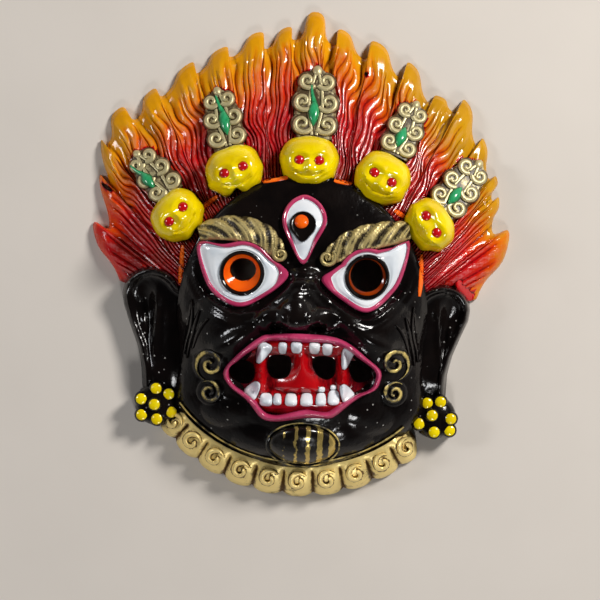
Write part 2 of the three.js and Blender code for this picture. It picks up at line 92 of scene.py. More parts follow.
def add_node(tree, kind, settings=(), **sockets):
    node = tree.nodes.new("ShaderNode" + kind)
    for name, value in dict(settings).items():
        setattr(node, name, value)
    feed(tree, node, **sockets)
    return node


def calculate(tree, operation, *values):
    sockets = {f"i{i}": value for i, value in enumerate(values)}
    return add_node(tree, "Math", {"operation": operation}, **sockets).outputs[0]


def ease(tree, value, low, high):
    """0 below the low value, 1 above the high one, and a smooth step between."""
    node = add_node(tree, "MapRange", {"interpolation_type": "SMOOTHSTEP"}, i0=value, i1=low, i2=high)
    return node.outputs[0]


def blend(tree, factor, first, second):
    return add_node(tree, "Mix", {"data_type": "RGBA"}, i0=factor, i6=first, i7=second).outputs[2]


def object_place(tree):
    return add_node(tree, "TexCoord").outputs["Object"]


def noise(tree, where, scale, detail):
    return add_node(tree, "TexNoise", Vector=where, Scale=scale, Detail=detail).outputs[0]


def new_group(name, inputs, outputs):
    tree = bpy.data.node_groups.new(name, "ShaderNodeTree")
    for kind, names in (("INPUT", inputs), ("OUTPUT", outputs)):
        for socket, socket_type in names.items():
            tree.interface.new_socket(socket, in_out=kind, socket_type="NodeSocket" + socket_type)
    start = tree.nodes.new("NodeGroupInput")
    return tree, start.outputs, tree.nodes.new("NodeGroupOutput")


# %% Brushed enamel
# Colour of the sparse pale specks, partly dust and partly painted glints.
DUST_AND_GLINT_COLOUR = (214, 212, 206)
enamel_group, given, end = new_group(
    "brushed_enamel",
    {"Paint": "Color", "Thin": "Color", "Recess": "Color", "Worn": "Color", "Crest": "Float", "Wear": "Float",
     "Dust": "Float"},
    {"Colour": "Color", "Roughness": "Float", "Height": "Float"},
)
tree = enamel_group
where = object_place(tree)
mottle = noise(tree, where, 70.0, 4.0)
bristle_way = add_node(tree, "Mapping", Vector=where, Scale=(1.0, 0.3, 1.0)).outputs[0]
bristles = noise(tree, bristle_way, 750.0, 3.0)
body = blend(tree, ease(tree, mottle, 0.38, 0.68), given["Paint"], given["Thin"])
uneven = calculate(tree, "MULTIPLY_ADD", bristles, 0.5, -0.25)
rough_crest = calculate(tree, "ADD", given["Crest"], uneven)
# Painted shade: where the crest value is low, in grooves and hollows, the paint turns to its darker recess
# colour.
sunk = calculate(tree, "SUBTRACT", 1.0, ease(tree, rough_crest, 0.02, 0.4))
# Painted highlight and wear: on the highest crests the paint turns to its paler worn colour and gets a little
# rougher.
rubbed_and_highlit = calculate(tree, "MULTIPLY", ease(tree, rough_crest, 0.72, 1.08), given["Wear"])
shaded = blend(tree, sunk, body, given["Recess"])
worn = blend(tree, rubbed_and_highlit, shaded, given["Worn"])
# Sparse pale specks, partly dust and partly painted glints of light on the rough black casting.
specks = add_node(tree, "TexVoronoi", Vector=where, Scale=300.0).outputs
speck_size = ease(tree, specks["Distance"], 0.2, 0.08)
drawn = add_node(tree, "SeparateColor", Color=specks["Color"]).outputs["Red"]
few = ease(tree, drawn, 0.8, 0.95)
dust = calculate(tree, "MULTIPLY", calculate(tree, "MULTIPLY", speck_size, few), given["Dust"])
gloss = calculate(tree, "MULTIPLY_ADD", mottle, 0.18, 0.06)
wrinkles = noise(tree, where, 260.0, 2.0)
lumps = calculate(tree, "MULTIPLY_ADD", wrinkles, 0.6, mottle)
feed(tree, end, Colour=blend(tree, dust, worn, colour(*DUST_AND_GLINT_COLOUR)),
     Roughness=calculate(tree, "MULTIPLY_ADD", rubbed_and_highlit, 0.12, gloss),
     Height=calculate(tree, "MULTIPLY_ADD", bristles, 0.25, lumps))
print("made group", tree.name)

# %% Rubbed gold
gold_group, given, end = new_group(
    "rubbed_gold",
    {"Gold": "Color", "Dark": "Color", "Crest": "Float", "Cover": "Float", "Patchy": "Float"},
    {"Colour": "Color", "Metallic": "Float", "Roughness": "Float", "Height": "Float"},
)
tree = gold_group
where = object_place(tree)
mottle = noise(tree, where, 240.0, 5.0)
flakes = noise(tree, where, 1400.0, 3.0)
uneven = calculate(tree, "MULTIPLY_ADD", mottle, 0.8, calculate(tree, "MULTIPLY", flakes, 0.4))
patchiness = calculate(tree, "SUBTRACT", noise(tree, where, 85.0, 2.0), 0.5)
missed = calculate(tree, "MULTIPLY", patchiness, given["Patchy"])
level = calculate(tree, "ADD", given["Crest"], calculate(tree, "SUBTRACT", uneven, 0.6))
level = calculate(tree, "ADD", level, missed)
covered = ease(tree, calculate(tree, "ADD", level, given["Cover"]), 0.32, 0.68)
feed(tree, end, Colour=blend(tree, covered, given["Dark"], given["Gold"]),
     Metallic=calculate(tree, "MULTIPLY", covered, 0.48),
     Roughness=calculate(tree, "MULTIPLY_ADD", flakes, 0.32, 0.27),
     Height=calculate(tree, "MULTIPLY_ADD", flakes, 0.5, mottle))
print("made group", tree.name)


# %% Material helpers
def start_finish(name):
    material = bpy.data.materials.new(name)
    material.use_nodes = True
    return material, material.node_tree, material.node_tree.nodes["Principled BSDF"]


def read_point_value(tree, name):
    return add_node(tree, "Attribute", {"attribute_name": name}).outputs["Fac"]


def dent(tree, shader, height, strength, depth=0.0006):
    """Dents the surface by a height, on top of the dents that it may have already."""
    before = {"Normal": link.from_socket for link in shader.inputs["Normal"].links}
    bump = add_node(tree, "Bump", Strength=strength, Distance=depth, Height=height, **before)
    feed(tree, shader, Normal=bump.outputs[0])


def use_group(tree, shader, group, bump, outputs, **sockets):
    """Places a group in a material, and links what it puts out to the shader."""
    node = tree.nodes.new("ShaderNodeGroup")
    node.node_tree = group
    feed(tree, node, **sockets)
    for source, target in outputs.items():
        tree.links.new(node.outputs[source], shader.inputs[target])
    dent(tree, shader, node.outputs["Height"], bump)


ENAMEL_OUTPUTS = {"Colour": "Base Color", "Roughness": "Roughness"}
GOLD_OUTPUTS = {"Colour": "Base Color", "Metallic": "Metallic", "Roughness": "Roughness"}
COAT_ROUGHNESS = 0.06
finishes = []


# The recess colour is painted shade in grooves; the worn colour, by the wear amount, lightens the crests as
# wear and painted highlight; dust adds pale specks, partly dust and partly painted glints.
def enamel(name, paint, thin, recess, worn, wear, bump=0.18, coat=0.2, sheen=0.5, dust=0.0):
    material, tree, shader = start_finish(name)
    use_group(tree, shader, enamel_group, bump, ENAMEL_OUTPUTS, Paint=colour(*paint), Thin=colour(*thin),
              Recess=colour(*recess), Worn=colour(*worn), Crest=read_point_value(tree, "crest"), Wear=wear,
              Dust=dust)
    feed(tree, shader, Coat_Weight=coat, Coat_Roughness=COAT_ROUGHNESS, Specular_IOR_Level=sheen)
    finishes.append(material)


def gilding(name, gold, dark, cover, patchy):
    material, tree, shader = start_finish(name)
    use_group(tree, shader, gold_group, 0.3, GOLD_OUTPUTS, Gold=colour(*gold), Dark=colour(*dark),
              Crest=read_point_value(tree, "crest"), Cover=cover, Patchy=patchy)
    finishes.append(material)


# %% Plain paints
# The black enamel gets the pale specks, partly dust and partly painted glints.
enamel("black_enamel", (12, 9, 9), (18, 13, 12), (8, 6, 6), (60, 52, 48), 0.1, bump=0.55, coat=0.12,
       sheen=0.26, dust=0.55)
enamel("white_enamel", (232, 236, 240), (214, 222, 230), (170, 176, 186), (246, 248, 250), 0.4)
enamel("pink_enamel", (190, 62, 104), (166, 44, 84), (120, 24, 58), (226, 136, 168), 0.6)
enamel("red_enamel", (190, 12, 20), (164, 8, 16), (78, 2, 8), (226, 60, 60), 0.4)
enamel("orange_enamel", (240, 98, 14), (222, 74, 8), (150, 40, 4), (252, 150, 60), 0.4, coat=0.02, sheen=0.22)
enamel("lemon_enamel", (238, 212, 4), (222, 190, 2), (156, 120, 2), (246, 228, 40), 0.4)
enamel("green_enamel", (10, 128, 72), (6, 102, 56), (4, 66, 38), (70, 190, 130), 0.5)
gilding("leaf_gold", (196, 184, 140), (70, 54, 30), 0.2, 0.3)
gilding("beard_gold", (252, 226, 148), (92, 62, 18), 0.16, 0.9)
gilding("brow_gold", (186, 168, 112), (38, 28, 13), 0.1, 0.4)
gilding("gold_on_black", (224, 200, 120), (13, 10, 9), -0.44, 1.1)
# A darker copy of the orange enamel: painted shade for the right iris and the wall of its hole.
enamel("shaded_orange_enamel", (150, 56, 8), (124, 40, 6), (70, 20, 2), (190, 96, 40), 0.4)
print(len(finishes), "paints mixed")

# %% [markdown]
# The crown's paint runs from crimson at the hairline through orange to golden yellow at the tips of the
# flames, and to a duller gold on the right. A second point value, `reach_out`, says how far out along its
# flame a point is, and a colour ramp turns that into paint before the enamel group adds the mottling, the
# painted shade in the grooves and the pale crests, which are partly wear and partly painted highlight.
# Finer hairs than the mesh can hold are a noise drawn out along the strands: it is read at an angle and a
# distance from the middle of the face, and goes into the crest, and so into that shade and highlight, and
# into a small bump.

# %% Flame paint
FLAME_MIDDLE = {"X": 0.0017, "Y": -0.0227}
FLAME_STEPS = [
    (0.0, (84, 3, 8)), (0.22, (150, 6, 18)), (0.56, (194, 14, 22)), (0.68, (212, 52, 10)),
    (0.82, (224, 102, 8)), (0.98, (220, 152, 14)),
]
material, tree, shader = start_finish("flame_enamel")
where = object_place(tree)
reach_out = read_point_value(tree, "reach_out")
patches = noise(tree, where, 95.0, 3.0)
heat = calculate(tree, "ADD", reach_out, calculate(tree, "MULTIPLY_ADD", patches, 0.3, -0.15))
apart = add_node(tree, "SeparateXYZ", Vector=where).outputs
from_middle = [calculate(tree, "SUBTRACT", apart[way], middle) for way, middle in FLAME_MIDDLE.items()]
bearing = calculate(tree, "MULTIPLY", calculate(tree, "ARCTAN2", from_middle[1], from_middle[0]), 0.11)
squares = [calculate(tree, "MULTIPLY", side, side) for side in from_middle]
distance = calculate(tree, "SQRT", calculate(tree, "ADD", *squares))
drawn_out = add_node(tree, "CombineXYZ", X=calculate(tree, "MULTIPLY_ADD", patches, 0.006, bearing),
                     Y=calculate(tree, "MULTIPLY", distance, 0.14)).outputs[0]
hairs = noise(tree, drawn_out, 800.0, 2.0)
ramp = add_node(tree, "ValToRGB", Fac=heat)
steps = ramp.color_ramp.elements
steps[1].position = FLAME_STEPS[-1][0]
steps[0].color, steps[1].color = (colour(*FLAME_STEPS[i][1]) for i in (0, -1))
for place, paint in FLAME_STEPS[1:-1]:
    steps.new(place).color = colour(*paint)
rightward = calculate(tree, "MULTIPLY", ease(tree, apart["X"], 0.01, 0.09), ease(tree, heat, 0.72, 1.0))
paint = blend(tree, calculate(tree, "MULTIPLY", rightward, 0.7), ramp.outputs[0], colour(190, 142, 20))
# Painted shade: the flame paint darkened towards red-brown for the strand grooves.
flame_groove_shade = blend(tree, 0.6, paint, colour(60, 6, 4))
thin = blend(tree, 0.2, paint, colour(124, 62, 6))
# Painted highlight and wear: the flame paint paled towards pink for the strand crests.
worn_pale_highlight = blend(tree, 0.45, paint, colour(240, 200, 200))
fade = calculate(tree, "SUBTRACT", 1.0, ease(tree, reach_out, 0.62, 0.95))
hairiness = calculate(tree, "MULTIPLY", calculate(tree, "SUBTRACT", hairs, 0.5), fade)
hairy_crest = calculate(tree, "MULTIPLY_ADD", hairiness, 0.8, read_point_value(tree, "crest"))
use_group(tree, shader, enamel_group, 0.2, ENAMEL_OUTPUTS, Paint=paint, Thin=thin, Recess=flame_groove_shade, Worn=worn_pale_highlight,
          Crest=hairy_crest, Wear=0.35)
dent(tree, shader, hairiness, 0.5, 0.001)
feed(tree, shader, Coat_Weight=0.1, Coat_Roughness=COAT_ROUGHNESS, Specular_IOR_Level=0.36)
finishes.append(material)

# %% [markdown]
# The chin boss is black with upright strokes of gold, laid on with a half-dry brush and thicker to the
# right. The strokes follow a wave along X, and noise breaks up their edges.

# %% Chin strokes
STROKE_SPACING = 0.0072
material, tree, shader = start_finish("chin_strokes")
where = object_place(tree)
apart = add_node(tree, "SeparateXYZ", Vector=where).outputs
drag = add_node(tree, "Mapping", Vector=where, Scale=(1.0, 0.12, 1.0)).outputs[0]
broken = noise(tree, drag, 420.0, 4.0)
wave = calculate(tree, "SINE", calculate(tree, "MULTIPLY_ADD", apart["X"], 2 * math.pi / STROKE_SPACING, 0.6))
rightward = calculate(tree, "MULTIPLY", calculate(tree, "ADD", apart["X"], -0.004), 42.0)
ragged = calculate(tree, "MULTIPLY_ADD", broken, 2.4, -1.5)
stroke = calculate(tree, "ADD", ragged, calculate(tree, "ADD", wave, rightward))
covered = ease(tree, stroke, 0.15, 0.55)
feed(tree, shader, Base_Color=blend(tree, covered, colour(15, 11, 10), colour(206, 180, 104)),
     Metallic=calculate(tree, "MULTIPLY", covered, 0.75),
     Roughness=calculate(tree, "MULTIPLY_ADD", broken, 0.2, 0.1))
dent(tree, shader, broken, 0.2)
finishes.append(material)

# %% [markdown]
# Behind, the casting was never painted. It is dull grey metal with the sandy skin that the mould left.

# %% Bare cast metal
material, tree, shader = start_finish("cast_metal")
where = object_place(tree)
sand = noise(tree, where, 900.0, 4.0)
stain = ease(tree, noise(tree, where, 45.0, 4.0), 0.35, 0.7)
feed(tree, shader, Base_Color=blend(tree, stain, colour(64, 61, 58), colour(38, 35, 32)), Metallic=0.8,
     Roughness=calculate(tree, "MULTIPLY_ADD", sand, 0.3, 0.4))
dent(tree, shader, sand, 0.5, 0.0005)
finishes.append(material)
PAINT = {material.name: i for i, material in enumerate(finishes)}
print("finishes:", ", ".join(PAINT))

# %% [markdown]
# ## How a block of the casting is made
# A sculptor would press each feature out of a slab of clay. We do the same: a flat grid is added, its points
# are lifted and moved by a small function, and it is extruded straight down past the floor, which gives a
# closed block with no undercut. Later all the blocks are joined into one casting. Sizes are in millimetres
# here, as on a drawing, and are turned into metres when the points are set.

# %% Small maths
MM = 0.001
FOOT = -6.0


def mix(a, b, t):
    return a + (b - a) * t


def smooth(zero, one, x):
    t = np.clip((x - zero) / (one - zero), 0, 1)
    return t * t * (3 - 2 * t)


def bell(x):
    return np.exp(-x * x)


def swell(x, y, at, radii):
    return np.maximum(0, 1 - ((x - at[0]) / radii[0]) ** 2 - ((y - at[1]) / radii[1]) ** 2)


def spline(points, count, closed=False):
    """A smooth line through the given points."""
    p = np.array(points, float)
    n = len(p)
    spans = n if closed else n - 1
    t = np.linspace(0, spans, count)
    i = np.minimum(t.astype(int), spans - 1)
    f = (t - i)[:, None]
    a, b, c, d = (p[(i + k) % n] if closed else p[np.clip(i + k, 0, n - 1)] for k in (-1, 0, 1, 2))
    return 0.5 * (2 * b + (c - a) * f + (2 * a - 5 * b + 4 * c - d) * f**2 + (3 * b - a - 3 * c + d) * f**3)


def along_line(line, u):
    steps = np.linspace(0, 1, len(line))
    return np.interp(u, steps, line[:, 0]), np.interp(u, steps, line[:, 1])


def gap_to_line(x, y, line):
    """How far each point is from a line."""
    gap = np.full(np.shape(x), 1e9)
    for px, py in line:
        gap = np.minimum(gap, np.hypot(x - px, y - py))
    return gap


def spread_on_disc(u, v):
    """Spreads the square grid evenly over a round sheet of radius 1."""
    a, b = 2 * u - 1, 2 * v - 1
    return a * np.sqrt(1 - b * b / 2), b * np.sqrt(1 - a * a / 2)


def turned(at, turn, px, py):
    """Points about a middle, turned by an angle in degrees."""
    c, s = math.cos(math.radians(turn)), math.sin(math.radians(turn))
    return at[0] + c * px - s * py, at[1] + s * px + c * py


def oval(at, radii, turn=0, count=48):
    angle = np.linspace(0, 2 * np.pi, count, endpoint=False)
    return np.stack(turned(at, turn, radii[0] * np.cos(angle), radii[1] * np.sin(angle)), 1)


def over(form, rise):
    """The height of a form, moved up by a rise."""
    return lambda x, y: form(x, y) + rise


def bands(paints, ends):
    """Paint that changes where v passes each of the ends."""
    numbers = np.array([PAINT[paint] for paint in paints])
    return lambda u, v: numbers[np.searchsorted(ends, v)]


# %% Block helpers
MERGE_GAP = 2e-6
PLAIN_CREST = 0.6
blocks = []


def read_mesh(items, name, width):
    values = np.empty(len(items) * width, np.float32)
    items.foreach_get(name, values)
    return values.reshape(-1, width).astype(float)


def paint_block(mesh, paint):
    for material in finishes:
        mesh.materials.append(material)
    mesh.polygons.foreach_set("material_index", np.broadcast_to(paint, len(mesh.polygons)).astype(np.int32))


def set_point_value(mesh, name, values):
    layer = mesh.attributes.new(name, "FLOAT", "POINT")
    layer.data.foreach_set("value", np.broadcast_to(values, len(mesh.vertices)).astype(np.float32))


def set_points(mesh, points):
    mesh.vertices.foreach_set("co", points.ravel().astype(np.float32))


def edit_all(*steps):
    """Runs mesh operators on the active block, each on all of its points."""
    bpy.ops.object.mode_set(mode="EDIT")
    for operator, settings in steps:
        bpy.ops.mesh.select_all(action="SELECT")
        operator(**settings)
    bpy.ops.object.mode_set(mode="OBJECT")


def pull(distance):
    move = {"value": (0, 0, distance)}
    return bpy.ops.mesh.extrude_region_move, {"TRANSFORM_OT_translate": move}


FACE_OUT = (bpy.ops.mesh.normals_make_consistent, {"inside": False})


def sheet_block(name, columns, rows, place, paint, foot=FOOT):
    """Grid whose points go where place(u, v) says, closed down to a flat foot. Place gives x, y and z, and
    may give the crest and reach_out values too. The paint is a name, or a function of u and v that gives
    paint numbers. Points that meet, as where a ring closes or comes to a pole, are merged."""
    bpy.ops.mesh.primitive_grid_add(x_subdivisions=columns, y_subdivisions=rows, size=2)
    block = bpy.context.object
    block.name = name
    mesh = block.data
    middles = (read_mesh(mesh.polygons, "center", 3) + 1) / 2
    flat = (read_mesh(mesh.vertices, "co", 3) + 1) / 2
    paint_block(mesh, paint(middles[:, 0], middles[:, 1]) if callable(paint) else PAINT[paint])
    x, y, z, *values = place(flat[:, 0], flat[:, 1])
    crest, reach_out = values + [PLAIN_CREST, 0.0][len(values):]
    set_point_value(mesh, "crest", crest)
    set_point_value(mesh, "reach_out", reach_out)
    set_points(mesh, np.stack(np.broadcast_arrays(x, y, z), 1) * MM)
    edit_all((bpy.ops.mesh.remove_doubles, {"threshold": MERGE_GAP}), pull(-0.1))
    points = read_mesh(mesh.vertices, "co", 3)
    pulled = read_mesh(mesh.vertices, "select", 1)[:, 0] > 0.5
    points[pulled, 2] = foot * MM
    set_points(mesh, points)
    mesh.update()
    edit_all(FACE_OUT)
    blocks.append(block)
    return block


def pebble(name, at, radii, base, height, paint, turn=0, square=1.0, taper=0.0, flat=0.8, around=24, rings=8,
           low=0.45, high=0.85):
    """Low rounded stud with an elliptical or squarish outline. The base is a height or a function of x, y.
    A taper above 0 makes it narrower towards its lower end, and one below 0 towards its upper end."""

    def place(u, v):
        angle, fall = 2 * np.pi * u, v * np.pi / 2
        reach = np.sin(fall)
        px = radii[0] * reach * np.sign(np.cos(angle)) * np.abs(np.cos(angle)) ** square
        py = radii[1] * reach * np.sign(np.sin(angle)) * np.abs(np.sin(angle)) ** square
        px = px * (1 + taper * py / radii[1])
        x, y = turned(at, turn, px, py)
        ground = base(x, y) if callable(base) else base
        return x, y, ground + height * np.cos(fall) ** flat, mix(low, high, np.cos(fall))

    sheet_block(name, around, rings, place, paint)


def ribbon(name, line, half_width, base, height, paint, columns=48, rows=6, low=0.1, high=1.0):
    """Rounded roll along a line. The half width and the height may change along it."""
    way = np.gradient(line, axis=0)
    side = np.stack([-way[:, 1], way[:, 0]], 1) / np.hypot(way[:, 0], way[:, 1])[:, None]

    def place(u, v):
        across = 2 * v - 1
        wide = half_width(u) if callable(half_width) else half_width
        tall = height(u) if callable(height) else height
        mx, my = along_line(line, u)
        nx, ny = along_line(side, u)
        x, y = mx + nx * wide * across, my + ny * wide * across
        ground = base(x, y) if callable(base) else base
        roll = np.sqrt(np.maximum(0, 1 - across**2))
        return x, y, ground + tall * roll - 0.3, mix(low, high, roll)

    sheet_block(name, columns, rows, place, paint)


def spiral(at, outer, inner, turns, start, hand, count=120):
    """Line of a scroll, from its open end in to its eye."""
    t = np.linspace(0, 1, count)
    angle = math.radians(start) + hand * 2 * np.pi * turns * t
    reach = mix(outer, inner, t**0.85)
    return np.stack([at[0] + reach * np.cos(angle), at[1] + reach * np.sin(angle)], 1)


# %% [markdown]
# ## Crown of flames
# Nineteen tongues of flame stand out from the hairline, each combed into wavy strands. The sheet runs from
# the hairline out to the rim, so its columns follow the strands and the grooves stay crisp. The rim takes
# each tongue's outline from its tip and the notches on either side.

# %% Sizes of the crown
EDGE = 4
FLAME_TIPS = np.array([
    [-128, 9], [-125.6, 42], [-125.4, 61.7], [-116.3, 84.6], [-96.7, 96.6], [-74.1, 114], [-53.7, 124.8],
    [-31.3, 135.4], [-13.7, 139.1], [4.7, 149.3], [21.8, 138.6], [43.7, 131.6], [65.2, 118.9], [82.8, 99.8],
    [100.2, 96.1], [111.7, 72.1], [119.9, 49.6], [121.6, 36.2], [128, 10.2],
])
FLAME_NOTCHES = np.array([
    [-110.9, -20.6], [-118.6, 15.3], [-119, 36], [-121, 63.5], [-103.2, 79.8], [-86.8, 95], [-66.2, 109.6],
    [-45.3, 120.2], [-24.8, 125.4], [-7.4, 131.6], [15.2, 129.3], [33.6, 121.8], [57.4, 110], [75.1, 96.2],
    [90.8, 90.6], [105.3, 71.5], [113.5, 51.5], [116.5, 38.4], [117.5, 21.9], [109.5, -24.3],
])
TONGUES = len(FLAME_TIPS)
FLAME_HEAT = [
    -0.34, -0.14, 0.06, 0.08, 0.08, 0.1, 0.1, 0.08, 0.02, 0.12,
    0.04, 0.06, 0.06, 0.1, 0.14, 0.12, 0.06, 0, -0.14,
]
STRANDS_PER_TONGUE = 7
COLUMNS_PER_STRAND = 3
CROWN_COLUMNS = TONGUES * STRANDS_PER_TONGUE * COLUMNS_PER_STRAND
CROWN_ROWS = 52
HAIRLINE_CENTRE = (1.7, -22.7)
HAIRLINE_RADII = (72, 66)
CROWN_ARC = (199, -19)
CROWN_ROOT_Z = 34
CROWN_ROOT_SHARE = 0.86
STRAND_RISE = 1.9
TONGUE_RISE = 2.8


# %% Shape of the crown
def flame_edge(tongue, across):
    """Point of a tongue's outline: up one flank to the tip, then down the other."""
    start, end, tip = FLAME_NOTCHES[tongue], FLAME_NOTCHES[tongue + 1], FLAME_TIPS[tongue]
    root = (start + end) / 2
    axis = (tip - root) / np.linalg.norm(tip - root, axis=1)[:, None]
    near = np.where((across < 0.5)[:, None], start, end)
    t = (1 - np.abs(across - 0.5) * 2)[:, None]
    flank = near + 0.75 * (root - near) + axis * (np.linalg.norm(near - tip, axis=1) * 0.12)[:, None]
    shoulder = tip + 0.9 * (near - root)
    return near * (1 - t) ** 3 + flank * 3 * t * (1 - t) ** 2 + shoulder * 3 * t**2 * (1 - t) + tip * t**3


def crown_height(out):
    """The crown falls from the hairline, where out is 0, to its rim, where it is 1."""
    return EDGE + (CROWN_ROOT_Z - EDGE) * np.maximum(0, 1 - out) ** 1.25


def in_tongues(share):
    """Which tongue a share of the crown's length is in, and how far across it."""
    tongue = np.minimum((share * TONGUES).astype(int), TONGUES - 1)
    return tongue, share * TONGUES - tongue


def crown_plan(share, out):
    angle = np.radians(mix(*CROWN_ARC, share))
    hair_x = HAIRLINE_CENTRE[0] + HAIRLINE_RADII[0] * CROWN_ROOT_SHARE * np.cos(angle)
    hair_y = HAIRLINE_CENTRE[1] + HAIRLINE_RADII[1] * CROWN_ROOT_SHARE * np.sin(angle)
    rim = flame_edge(*in_tongues(share))
    return mix(hair_x, rim[:, 0], out), mix(hair_y, rim[:, 1], out)


def crown_place(u, v):
    out = mix(0.06, 1, 1 - (1 - v) ** 1.35)
    loose = np.sin(np.pi * out) * smooth(0.03, 0.14, u) * smooth(0.97, 0.86, u)
    slow_wave = 0.0065 * np.sin(2 * np.pi * (1.2 * out + 5.3 * u))
    sway = slow_wave + 0.0034 * np.sin(2 * np.pi * (3.4 * out + 7.7 * u))
    x, y = crown_plan(np.clip(u + loose * sway, 0, 1), out)
    tongue, across = in_tongues(u)
    strand = np.floor(u * TONGUES * STRANDS_PER_TONGUE + 1e-6)
    ridge = np.abs(np.sin(np.pi * u * TONGUES * STRANDS_PER_TONGUE)) ** 0.75
    inland = smooth(0, 0.1, np.minimum(u, 1 - u))
    tall = 0.8 + (0.3 * np.sin(strand * 2.39) + 0.2 * np.sin(7 * out + 1.7 * strand)) * inland
    combed = smooth(0.04, 0.16, out) * (1 - 0.7 * smooth(0.76, 0.97, out))
    body = TONGUE_RISE * np.sin(np.pi * across) ** 0.9 * smooth(0.62, 0.92, out)
    notch = np.abs(2 * across - 1) ** 9 * smooth(0.7, 0.92, out)
    step = 0.5 * np.cos(np.pi * tongue) * np.sin(np.pi * across) * smooth(0.4, 0.8, out)
    rounded = np.sqrt(1 - smooth(0.86, 1, out))
    relief = body + step - 0.7 * notch + STRAND_RISE * combed * tall * ridge + 0.3
    under_ears = 14 * (smooth(0.05, 0, u) + smooth(0.95, 1, u)) * smooth(0.6, 0.2, out)
    z = crown_height(out) + rounded * relief - 1.6 * smooth(0.97, 1, out) - under_ears
    offset = np.interp(u * TONGUES, np.arange(TONGUES) + 0.5, FLAME_HEAT)
    heat = out + offset * smooth(0.2, 0.8, out) + 0.1 * (ridge - 0.5) * combed
    # The crest value follows the strand ridges and drops in the notches, which darkens them as painted shade.
    return x, y, z, mix(0.62, ridge, combed) - 0.3 * notch, heat


crown = sheet_block("crown", CROWN_COLUMNS, CROWN_ROWS, crown_place, "flame_enamel")
print("crown:", len(crown.data.polygons), "faces")

# %% [markdown]
# ## Face
# The broad masses of the face come first: a dome that falls to the hairline and the jaw, a nose, two cheeks,
# a muzzle and a brow. Folds are then laid on it, under the eyes, beside the nose and over its bridge. A
# second, wider and lower sheet makes the jaw that runs down to the beard.

# %% Sizes of the face
FACE_CENTRE = (2.4, -43.6)
FACE_RADII = (75, 89)
FACE_OVERLAP = 1.012
JAW_CENTRE = (2.8, -53.1)
JAW_RADII = (91, 79.5)
JAW_HALF_WIDTH = 77
JAW_EDGE_Z = 10
JAW_RISE = 26
JAW_BEND = 0.4
CHEEKS = [(-41, -49), (45, -47)]
MOUNDS = [(-43, -97), (46, -99), (-24, -114.5), (34, -112)]
NOSTRILS = [(-12, -44.6), (11.5, -44.2)]
NOSTRIL_DEPTH = 6
FACE_TOP = 46
NOSE_RISE = 13
CHEEK_RISE = 8
MUZZLE_RISE = 5
BROW_RISE = 4
MOUND_RISE = 3
WING_RISE = 5
FOLD_RISE = 3.2
NOSE_TIP = (-1.5, -37)
NOSE_WINGS = [(-15.5, -41), (14.5, -40.2)]
SMILE_FOLDS = [[(-19, -36), (-27, -45), (-38, -54), (-48, -60)], [(23, -35), (32, -43), (43, -51), (55, -56)]]
LEFT_EYE = [
    (-60.2, 3.8), (-46, 2.6), (-33.4, 4.8), (-24.2, 2), (-16.8, -4.5), (-7, -14.2), (-19.6, -27.2),
    (-35.7, -33.7), (-52.2, -24.8), (-60.1, -7),
]
RIGHT_EYE = [
    (13.4, -16.6), (19.6, -10.4), (28.4, -4.2), (37.3, 0.2), (46, 2.2), (55, 4.4), (64.4, 8.6), (62.6, -7),
    (56.4, -21.6), (41, -34.4), (25, -27.4),
]
IRIS_MIDDLES = [(-34.1, -14), (39.9, -13.9)]
IRIS_DEPTH = 8
MOUTH_DEPTH = 7
LIPS = [
    (-43.2, -73), (-36.5, -63.6), (-22.7, -51.8), (-14.3, -49.2), (1.9, -48.6), (19.6, -49.6), (30.4, -53.4),
    (41.2, -61.6), (49.9, -69), (49.9, -76.1), (46.8, -81.1), (38.5, -85), (31.6, -90.1), (24.7, -96.1),
    (19.9, -98.2), (7.2, -98.1), (-6.9, -100.7), (-15.3, -101), (-21.1, -98.4), (-28.4, -89.4),
    (-39.3, -81.3),
]
LIP_LINE = spline(LIPS, 200, closed=True)
MOUTH_MIDDLE = (3.3, -75)
EYE_LINES = [spline(LEFT_EYE, 160, closed=True), spline(RIGHT_EYE, 160, closed=True)]


# %% Shape of the face
def face_form(x, y):
    rho = np.hypot((x - FACE_CENTRE[0]) / FACE_RADII[0], (y - FACE_CENTRE[1]) / FACE_RADII[1])
    edge = mix(12, 37, smooth(-70, 5, y))
    dome = edge + (FACE_TOP - edge) * np.maximum(0, 1 - rho**2.4) ** 0.62
    nose_width = mix(8, 15, smooth(-8, -38, y))
    nose_line = mix(1.6, NOSE_TIP[0], smooth(-10, -34, y))
    nose = NOSE_RISE * bell((x - nose_line) / nose_width) * smooth(2, -32, y) * smooth(-53, -42, y)
    cheeks = sum(CHEEK_RISE * swell(x, y, at, (28, 24)) for at in CHEEKS)
    muzzle = MUZZLE_RISE * swell(x, y, (3.3, -76), (58, 38))
    brow_ridge = BROW_RISE * bell((y - 9) / 13) * smooth(74, 48, np.abs(x - 2))
    return dome + np.maximum(nose, np.maximum(cheeks, muzzle)) + brow_ridge


def inside_mouth(x, y):
    """1 in the open mouth, falling to 0 at the lips."""
    dx, dy = x - MOUTH_MIDDLE[0], y - MOUTH_MIDDLE[1]
    line = LIP_LINE - np.array(MOUTH_MIDDLE)
    angles = np.arctan2(line[:, 1], line[:, 0])
    order = np.argsort(angles)
    reaches = np.hypot(line[:, 0], line[:, 1])
    reach = np.interp(np.arctan2(dy, dx), angles[order], reaches[order], period=2 * np.pi)
    return smooth(0.96, 0.8, np.hypot(dx, dy) / reach)


def inside_iris(x, y, rim, floor):
    """1 within a floor radius of an iris's middle, falling to 0 at the rim radius."""
    return sum(smooth(rim, floor, np.hypot(x - at[0], y - at[1])) for at in IRIS_MIDDLES)


